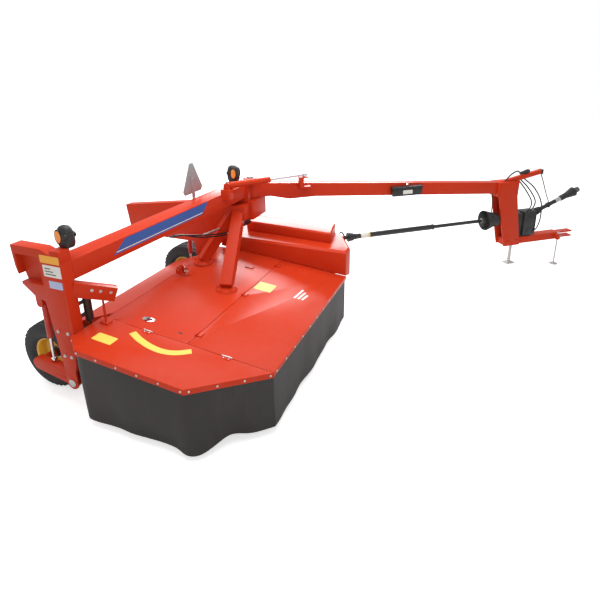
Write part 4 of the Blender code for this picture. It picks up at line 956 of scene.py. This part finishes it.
def makeWheel(label, y, face):
    body = f"wheel_{label}"
    centre = Vector((0, y, wheel["radius"]))
    tyre = bmesh.new()
    outer = list(wheel["tyre"])
    addTurned(tyre, [*outer, *[(r, -a) for r, a in reversed(outer[:-1])], *wheel["bead"]], centre, 96)
    tree = treadTree()
    for offset, long, wide, twist, slant in wheel["rows"]:
        lift = 0.0 if abs(offset) < 0.1 else 0.0055
        made = runRows(tree, bpy.data.meshes.new("treadSeed"), {
            "Radius": wheel["radius"] - 0.0075 - lift, "Block Length": long * 1.35, "Block Width": wide,
            "Block Height": 0.013, "Row Offset": offset, "Twist": twist, "Slant": slant,
            "Blocks": wheel["treads"]})
        made.transform(Matrix.Translation(centre) @ Matrix.Rotation(math.radians(90), 4, "X"))
        part = bmesh.new()
        part.from_mesh(made)
        softEdges(part, 0.002)
        joinInto(tyre, part)
    settle(f"tyre{label.title()}", tyre, body, "tyreRubber", replaces=(f"tyre_{label}",))
    dish, half = face * wheel["dish"], wheel["rimHalf"]

    def dished(profile):
        return [(r, dish + a) for r, a in profile]
    lip, well = ([(r, half + a) for r, a in wheel[edge]] for edge in ("lip", "well"))
    barrel = [(r, -a) for r, a in lip] + lip[::-1] + well + [(r, -a) for r, a in well[::-1]]
    build(f"rim{label.title()}", body, "yellowCoat", (addTurned, barrel, centre, 72),
          (addTurned, dished(wheel["disc"]), centre, 72), replaces=(f"rim_{label}",))
    build(f"hub{label.title()}", body, "blackCoat", (addTurned, dished(wheel["hub"]), centre, 36),
          (addTurned, dished(wheel["cap"]), centre, 36))
    for side in (-1, 1):
        spots = [(a, y + dish + (0.002 if side > 0 else -0.007), b)
                 for a, b in circlePoints(wheel["boltCircle"], 6, (0, wheel["radius"]))]
        headSpots("zincBolt", body, spots, (0, side, 0), 0.011, 0.014)


makeWheel("right", -1.04, -1)
makeWheel("left", 1.485, -1)
print("wheels ready")


# frame, header and running gear: the plain nodes, each with its edges eased

dressed = {
    "redCoat": ("header_frame", "header_tower", "cross_beam", "right_leg", "left_wheel_carrier", "pivot_head",
                "float_link_right", "rear_hood", "wheel_arm_right", "wheel_arm_left", "tongue_beam",
                "tongue_head", "drawbar", "swing_barrel"),
    "redCasting": ("swath_gate", "windrow_shield_right", "windrow_shield_left", "lift_barrel_right",
                   "lift_barrel_left"),
    "blackCoat": ("cutterbar", "left_gear_case", "front_gear_case"),
    "blackPlastic": ("driveline_outer", "driveline_inner", "pto_shaft"),
    "darkSteel": tuple(f"cutting_disc_{index}" for index in range(1, 9)),
    "tyreRubber": ("lower_roll", "upper_roll"),
    "chrome": ("lift_rod_right", "lift_rod_left", "swing_rod"),
    "zinc": ("jack_leg", "drawbar_stand"),
    "greyPlate": ("marker_plate",),
}
easing = {"cutterbar": 0.0015, "header_frame": 0.0025, "right_leg": 0.006, "left_wheel_carrier": 0.006,
          "cross_beam": 0.008,
          "tongue_beam": 0.008, "header_tower": 0.006, "pivot_head": 0.004}
for material, members in dressed.items():
    for node in members:
        dressNode(node, material, easing.get(node, 0.0015))
print("plain nodes dressed")


# labels and stripe

plates = {
    "stripe": ((-0.80, 0.28), (0.40, 0.28), (0.50, 0.95), (-0.64, 0.95)),
    "stripeLine": ((-0.77, 0.36), (0.40, 0.36), (0.405, 0.41), (-0.76, 0.41)),
    "orange": ((0.38, 1.655), (0.63, 1.735)), "white": ((0.40, 1.512), (0.63, 1.635)),
    "blue": ((0.447, 1.39), (0.62, 1.47)),
    "legSide": -1.36,
}


def beamFace(y, share, lift):
    # front face of the cross beam, share runs from its lower to its upper edge
    t = (y + 1.2297) / 2.3929
    low, high = 1.455 + 0.28 * t, 1.66 + 0.265 * t
    return (0.64 + 0.63 * t + lift * 0.967, y - lift * 0.255, low + (high - low) * share)


def legFace(x, z, lift):
    return (x, plates["legSide"] - lift, z)


def makePlates():
    sticker("beamStripe", "frame", "blueStripe", plates["stripe"], place=beamFace)
    sticker("beamStripeLine", "frame", "whiteLabel", plates["stripeLine"], 0.0018, place=beamFace)
    for name, material in (("orange", "orangeLabel"), ("white", "whiteLabel"), ("blue", "paleBlueLabel")):
        sticker(name + "LegLabel", "frame", material, roundedOutline(*plates[name], 0.008), place=legFace)
    bars = []
    for k in range(3):
        low, end = 1.535 + 0.030 * k, 0.56 - 0.03 * k
        bars.append((addPrism, [(0.425, low), (end, low), (end, low + 0.010), (0.425, low + 0.010)], "Y",
                     plates["legSide"] - 0.0018, plates["legSide"], 0))
    build("legLabelBars", "frame", "blackPlastic", *bars)


# lamps

lamps = {
    "right": ((0.59, -1.20, 1.7903), -1), "left": ((1.05, 1.23, 1.9403), 1),
    "shell": ((0.066, 0.053, 0.0), (0.074, 0.061, 0.018), (0.083, 0.063, 0.05), (0.083, 0.062, 0.10),
              (0.078, 0.058, 0.15), (0.066, 0.049, 0.188), (0.048, 0.036, 0.209), (0.020, 0.015, 0.2185)),
    "lens": ((0.050, 1.0), (0.0655, 0.97), (0.0685, 0.80), (0.0698, 0.40)),
    "bezel": ((0.050, 1.16), (0.0635, 1.16), (0.0645, 1.08), (0.050, 1.02)),
}


def roundedRing(cx, cy, z, depth, width, sides=32, power=2.8):
    ring = []
    for k in range(sides):
        a = 2 * math.pi * k / sides
        c, s = math.cos(a), math.sin(a)
        ring.append((cx + depth * math.copysign(abs(c) ** (2 / power), c),
                     cy + width * math.copysign(abs(s) ** (2 / power), s), z))
    return ring


def makeLamp(label):
    (x, y, z), end = lamps[label]

    def ovals(face, stages, wide, tall):
        return [[(x + end * 0.034 + wide * share * math.cos(a), y + face * out,
                  z + 0.112 + tall * share * math.sin(a))
                 for a in (2 * math.pi * k / 40 for k in range(40))] for out, share in stages]
    shell = bmesh.new()
    addLoft(shell, [roundedRing(x, y, z + height, depth, width) for depth, width, height in lamps["shell"]])
    for face in (-1, 1):
        addRod(shell, (x - end * 0.042, y + face * 0.045, z + 0.115),
               (x - end * 0.042, y + face * 0.068, z + 0.115), [(0, 0.032), (0.8, 0.030), (1, 0.022)], 24)
        addLoft(shell, ovals(face, lamps["bezel"], 0.036, 0.066))
    settle(f"lampShell{label.title()}", shell, "frame", "blackPlastic", sharp=40,
           replaces=(f"warning_lamp_{label}",))
    for face, material in ((-1, "amberLens"), (1, "redLens")):
        lens = bmesh.new()
        addLoft(lens, ovals(face, lamps["lens"], 0.035, 0.064))
        settle(f"lampLens{label.title()}{'Front' if face < 0 else 'Rear'}", lens, "frame", material, sharp=60)


# marker, seen from behind

marker = {"x": 0.8509, "y": 0.55, "z": 1.80}


def makeMarker():
    y, z = marker["y"], marker["z"]
    outline = [(y - 0.17, z + 0.128), (y + 0.17, z + 0.128), (y + 0.20, z + 0.17), (y + 0.03, z + 0.49),
               (y - 0.03, z + 0.49), (y - 0.20, z + 0.17)]
    middle = [(y + (a - y) * 0.66, z + 0.245 + (b - z - 0.245) * 0.66) for a, b in outline]

    def rear(a, b, lift):
        return (marker["x"] - lift, a, b)
    sticker("markerBorder", "frame", "redLens", outline, place=rear)
    sticker("markerField", "frame", "orangeLabel", middle, 0.0018, place=rear)
    headSpots("zincBolt", "frame", [(marker["x"] + 0.0095, y, z + 0.05),
                                    (marker["x"] + 0.0095, y, z + 0.30)], (1, 0, 0), 0.010, 0.007)


# fittings on the frame: material, sharpest angle that is smoothed, then each part's tool and values

foot = {"places": ((1.47, 0.20), (0.80, 0.72)), "boltCircle": 0.108}
floatArm = {"start": (0.60, -1.25, 1.36), "end": (0.83, -0.93, 1.20), "half": (0.038, 0.060)}
swingPin, armPivot = (1.20, 0.80), (0.50, 0.29)
catchZ = deckZ(0.72)
catchSide = [(0.70, catchZ), (0.80, catchZ - 0.008), (0.785, catchZ + 0.085), (0.76, catchZ + 0.105),
             (0.725, catchZ + 0.10), (0.70, catchZ + 0.06)]
frameParts = {
    "pivotCap": ("blackCoat", 32, (addRod, (1.21, 1.40, 1.960), (1.21, 1.40, 1.978),
                                   domed(0.050, 0.5, 0.040), 32)),
    "swingPinCap": ("zinc", 32, (addRod, (*swingPin, 2.030), (*swingPin, 2.042), domed(0.026, 0.7, 0.020),
                                 24)),
    "valveBlock": ("blackCoat", 32, (addBox, (1.02, 1.20, 1.30), (1.20, 1.40, 1.428), 0.01),
                   (addRod, (1.11, 1.19, 1.365), (1.11, 1.13, 1.365), 0.028, 20, 0.003)),
    "valveHoseA": ("hoseRubber", 32, (addTube, ((1.13, 1.24, 1.40), (1.15, 1.10, 1.38), (1.11, 0.92, 1.30),
                   (0.95, 0.55, 1.36), (0.90, 0.20, 1.47), (0.86, 0.02, 1.50)), 0.010)),
    "valveHoseB": ("hoseRubber", 32, (addTube, ((1.16, 1.24, 1.34), (1.18, 1.10, 1.32), (1.11, 0.92, 1.27),
                   (0.95, 0.55, 1.33), (0.87, 0.20, 1.47), (0.83, 0.02, 1.50)), 0.010)),
    "shaftGrommet": ("hoseRubber", 60, (addRing, (2.375, 2.035, 0.985), (1, 1, 0), 0.092, 0.012)),
    "deckCatchBracket": ("redCoat", 32, (addPrism, catchSide, "Y", 0.24, 0.25, 0.002),
                         (addPrism, catchSide, "Y", 0.30, 0.31, 0.002)),
    "deckCatchPin": ("chrome", 32, (addRod, (0.752, 0.22, catchZ + 0.070), (0.752, 0.33, catchZ + 0.070),
                                    0.010, 20, 0.002),
                     (addRod, onDeck(0.83, 0.30, 0), onDeck(0.83, 0.30, 0.07),
                      [(0, 0.022), (0.5, 0.020), (0.6, 0.034), (1, 0.030)], 24),
                     (addTube, [(0.752, y, catchZ + lift) for y, lift in (
                         (0.335, 0.070), (0.355, 0.095), (0.37, 0.070), (0.355, 0.045),
                         (0.335, 0.064))], 0.003, 8, 6)),
    "floatStore": ("blackCoat", 32, (addRod, (0.615, -1.11, 0.93), (0.615, -1.11, 1.29),
                                     [(0, 0.026), (0.06, 0.042), (0.94, 0.042), (1, 0.024)], 28),
                   (addBox, (0.60, -1.235, 1.16), (0.63, -1.13, 1.19)),
                   (addBox, (0.60, -1.235, 1.02), (0.63, -1.13, 1.05))),
    "floatHose": ("hoseRubber", 60, (addTube, ((0.615, -1.11, 0.935), (0.615, -1.11, 0.88),
                                               (0.60, -1.17, 0.83),
                                               (0.56, -1.222, 0.86), (0.55, -1.222, 1.05)), 0.009)),
    "supplyPipe": ("zinc", 60, (addTube, ((0.92, 0.60, 1.34), (0.99, 0.85, 1.35), (1.06, 1.05, 1.345),
                                          (1.11, 1.20, 1.36)), 0.014, 14)),
    "deckStrip": ("redCasting", 32, (addSlab, roundedOutline((1.36, 0.86), (1.48, 0.94), 0.008), bedded,
                                     0.010)),
}
for label, armY in (("Right", -1.295), ("Left", 1.23)):
    frameParts["armPinCaps" + label] = ("zinc", 32, *[
        (addRod, (armPivot[0], armY + side * 0.0655, armPivot[1]),
         (armPivot[0], armY + side * 0.0755, armPivot[1]), domed(0.045, 0.6, 0.036), 28) for side in (-1, 1)])
legBolts = [(x, plates["legSide"] - 0.0002, z) for x, z in ((0.47, 0.62), (0.56, 0.62), (0.44, 0.90),
                                                            (0.57, 0.90))]


def makeFrameFittings():
    for place in foot["places"]:
        circle = circlePoints(foot["boltCircle"], 6, place, math.radians(30))
        headSpots("redBolt", "frame", [onDeck(x, y, 0.029) for x, y in circle], deckUp, 0.011, 0.012)
    start, end = Vector(floatArm["start"]), Vector(floatArm["end"])
    along = (end - start).normalized()
    wide = along.cross(Vector((0, 0, 1))).normalized()
    tall = wide.cross(along)
    halfWide, halfTall = floatArm["half"]
    # a thin black sheet across the arm's open end stands in for its dark hollow inside, painted shade
    mouth = [[end + along * out + wide * a * halfWide + tall * b * halfTall
              for a, b in ((-1, -1), (1, -1), (1, 1), (-1, 1))] for out in (0.0006, 0.0016)]
    build("floatArmMouthShade", "frame", "blackPlastic", (addLoft, mouth))
    side = [start.lerp(end, share) + wide * 0.0502 + tall * 0.02 for share in (0.42, 0.62, 0.86)]
    headSpots("zincBolt", "frame", side, wide, 0.012, 0.009)
    corners = circlePoints(1, 4, start=math.radians(45))
    headSpots("redBolt", "frame", [(1.19 + 0.085 * a, 1.40 + 0.145 * b, 1.9402) for a, b in corners],
              (0, 0, 1), 0.013, 0.012)
    for name, (material, sharp, *parts) in frameParts.items():
        build(name, "frame", material, *parts, sharp=sharp)
    headSpots("zincBolt", "frame", legBolts, (0, -1, 0), 0.014, 0.010)


# tongue, built along itself: s forward, w left, z up

tongue = {"half": 0.0775, "boxStart": 2.14, "boxEnd": 2.66}


def makeManualBox():
    s0, s1 = tongue["boxStart"], tongue["boxEnd"]
    middle = (s0 + s1) / 2
    inner = -tongue["half"] - 0.0008
    low = tongueTop(middle) - 0.19

    def tubRing(inset, depth, height):
        return [(s, w, low + height) for s, w in ((s0 + inset, inner - depth), (s1 - inset, inner - depth),
                                                  (s1 - inset, inner), (s0 + inset, inner))]
    build("manualTub", "tongue", "blackPlastic", (addLoft, [tubRing(0.02, 0.078, 0.001),
                                                            tubRing(0.004, 0.086, 0.112)], 0.012),
          (addBox, (s0 + 0.0005, inner - 0.0892, low + 0.116), (s1 - 0.0005, inner, low + 0.149), 0.008),
          *[(addBox, (s - 0.022, inner - 0.0895, low + 0.085), (s + 0.022, inner - 0.080, low + 0.135))
            for s in (s0 + 0.12, s1 - 0.12)], space=tongueSpace, replaces=("manual_box",))
    label = roundedOutline((s0 + 0.18, low + 0.035), (s0 + 0.34, low + 0.095), 0.006)
    sticker("manualLabel", "tongue", "whiteLabel", label, 0.0016, tongueSpace,
            lambda a, b, lift: (a, inner - 0.0845 - lift, b))
    build("manualKnob", "tongue", "redLens",
          (addRod, (middle, inner - 0.045, low + 0.148), (middle, inner - 0.045, low + 0.180),
           [(0, 0.014), (0.4, 0.012), (0.5, 0.022), (0.85, 0.022), (1, 0.016)], 24), space=tongueSpace)


shaftStart, shaftRise = Vector((5.015, 0, 0.99)), math.radians(21.5)
shaftWay = Vector((math.cos(shaftRise), 0, math.sin(shaftRise)))
caseS, bellZ, jackS, jackW, standS = 4.835, 0.93, 4.72, 0.155, 5.46


def onShaft(distance, side=0.0):
    return shaftStart + shaftWay * distance + Vector((0, side, 0))


tongueParts = {
    "armCap": ("blackPlastic", 32, (addBox, (4.965, -0.060, 1.670), (5.005, 0.020, 1.752), 0.008),
               (addRod, (4.56, -0.02, 1.705), (4.74, -0.02, 1.740),
                [(0, 0.016), (0.1, 0.026), (0.45, 0.026), (0.5, 0.034), (0.9, 0.034), (1, 0.024)], 24)),
    "hoseOuter": ("hoseRubber", 60, (addTube, ((4.66, -0.02, 1.61), (4.82, -0.10, 1.46), (4.97, -0.135, 1.22),
                  (5.01, -0.14, 0.95), (4.98, -0.125, 0.74), (4.90, -0.10, 0.66)), 0.011)),
    "hoseMiddle": ("hoseRubber", 60, (addTube, ((4.60, 0.0, 1.60), (4.74, -0.06, 1.45), (4.88, -0.09, 1.25),
                   (4.91, -0.06, 1.11), (4.86, -0.02, 1.02)), 0.011)),
    "hoseInner": ("hoseRubber", 60, (addTube, ((4.54, -0.04, 1.59), (4.67, -0.09, 1.42), (4.80, -0.11, 1.22),
                  (4.80, -0.09, 1.09), (4.78, -0.05, 1.02)), 0.011)),
    "hoseTop": ("hoseRubber", 60, (addTube, ((4.57, -0.02, 1.71), (4.48, -0.045, 1.755), (4.36, -0.06, 1.715),
                (4.27, -0.05, 1.625), (4.22, -0.03, 1.585)), 0.011)),
    "hoseStrap": ("hoseRubber", 60, (addTube, ((4.99, -0.02, 1.68), (5.07, -0.02, 1.52), (5.17, -0.02, 1.30),
                  (5.27, -0.01, 1.125)), 0.008)),
    "bellStrap": ("hoseRubber", 60, (addTube, ((4.03, -0.05, 1.42), (4.045, -0.06, 1.26),
                                               (4.06, -0.05, 1.07)), 0.008)),
    "shaftSleeve": ("zinc", 32, (addRod, onShaft(0.42), onShaft(0.52), collar(0.0375, 0.02, 0.040), 32)),
    "shaftBellRibs": ("blackPlastic", 60, (addRod, onShaft(0.52), onShaft(0.66),
                                           collar(0.040, 0.08, 0.050, 0.046), 32),
                      (addRod, onShaft(0.245), onShaft(0.285), collar(0.037, 0.2, 0.048), 32),
                      *[(addRing, onShaft(0.69 + 0.028 * k), shaftWay, 0.052 + 0.0065 * k, 0.0055, 32, 8)
                        for k in range(5)],
                      *[(addRing, onShaft(0.012 + 0.024 * k), shaftWay, 0.063 - 0.004 * k, 0.005, 32, 8)
                        for k in range(4)]),
    "shaftYoke": ("darkSteel", 32, (addRod, onShaft(0.80), onShaft(0.915),
                                    collar(0.0455, 0.2, 0.048, 0.040), 28),
                  (addRod, onShaft(0.85, -0.056), onShaft(0.85, 0.056), 0.018, 20, 0.003)),
    "gearCaseCovers": ("blackCoat", 32, *[
        (addRod, (caseS, side * 0.104, z), (caseS, side * depth, z), domed(radius, 0.6, tip), sides)
        for side in (-1, 1) for z, depth, radius, tip, sides in ((0.87, 0.113, 0.090, 0.075, 36),
                                                                 (0.69, 0.111, 0.060, 0.050, 32))],
        (addRod, (4.115, 0, bellZ), (4.195, 0, bellZ), collar(0.118, 0.1, 0.124, 0.116), 36)),
    "guardBellRibs": ("blackPlastic", 60, *[(addRing, (s, 0, bellZ), (1, 0, 0), radius, 0.0055, 44, 8)
        for s, radius in ((3.972, 0.1665), (4.00, 0.1585), (4.035, 0.147), (4.07, 0.136))]),
    "jackHead": ("blackCoat", 32, (addRod, (jackS, jackW, 0.7205), (jackS, jackW, 0.765),
                                   domed(0.044, 0.7, 0.034), 28),
                 (addTurned, [(0.0402, 0.392), (0.0415, 0.392), (0.0415, 0.465), (0.0402, 0.465)],
                  (jackS, jackW, 0), 32, "Z")),
    "jackCrank": ("zinc", 60, (addTube, [(jackS, w, z) for w, z in (
        (jackW, 0.76), (jackW, 0.785), (0.20, 0.79), (0.27, 0.79), (0.285, 0.80),
        (0.287, 0.86))], 0.007, 10, 6)),
    "standPin": ("zinc", 60, (addRod, (standS, -0.175, 0.545), (standS, -0.155, 0.545), 0.007, 16),
                 (addTube, ((standS, -0.175, 0.545), (5.48, -0.188, 0.555), (5.49, -0.18, 0.525),
                            (5.47, -0.172, 0.515)), 0.0025, 8, 6)),
}


def makeTongueFittings():
    top = tongueTop(4.1)
    for side in (-1, 1):
        spots = [(s, side * 0.1102, z) for s, z in ((4.14, top - 0.05), (4.14, top - 0.19),
                                                    (4.45, top - 0.19), (4.42, 0.54), (4.60, 0.54))]
        headSpots("redBolt", "tongue", spots, (0, side, 0), 0.014, 0.011, tongueSpace)
    for name, (material, sharp, *parts) in tongueParts.items():
        build(name, "tongue", material, *parts, space=tongueSpace, sharp=sharp)
    spots = [(s, 0.0605, z) for s, z in ((5.55, 0.4765), (5.55, 0.5625), (5.66, 0.4765))]
    headSpots("zincBolt", "tongue", spots, (0, 1, 0), 0.008, 0.006, tongueSpace)


driveline = {"rear": Vector((2.42, 2.09, 0.985)), "frontS": 4.17, "frontZ": 0.93, "band": 0.0428}


def makeDriveline():
    rear, reach = driveline["rear"], driveline["frontS"]
    front = pivotPin + Vector((reach * math.cos(swingAngle), reach * math.sin(swingAngle),
                               driveline["frontZ"]))
    along, length = (front - rear).normalized(), (front - rear).length

    def between(low, high, profile, sides=32):
        return (addRod, rear + along * low, rear + along * high, profile, sides)
    build("driveBellows", "driveline_outer", "blackPlastic", *[
        (addRing, rear + along * (0.036 + 0.019 * k), along, 0.067 - 0.003 * k, 0.005, 32, 8)
        for k in range(5)],
        between(0.14, 0.165, collar(0.044, 0.2, 0.047)), between(1.54, 1.565, collar(0.044, 0.2, 0.047)),
        sharp=60)
    build("driveBand", "driveline_outer", "whiteLabel", between(0.24, 0.37, driveline["band"]))
    build("driveBandEdge", "driveline_outer", "yellowLabel", between(0.375, 0.395, driveline["band"]))
    build("driveYoke", "driveline_inner", "darkSteel", between(length - 0.285, length - 0.201,
                                                               collar(0.0305, 0.1, 0.040, 0.034), 28))


makePlates()
makeLamp("right")
makeLamp("left")
makeMarker()
makeFrameFittings()
makeManualBox()
makeTongueFittings()
makeDriveline()
print("labels, lamps, fittings and hoses ready")


settleHeads()
print("all pieces settled")
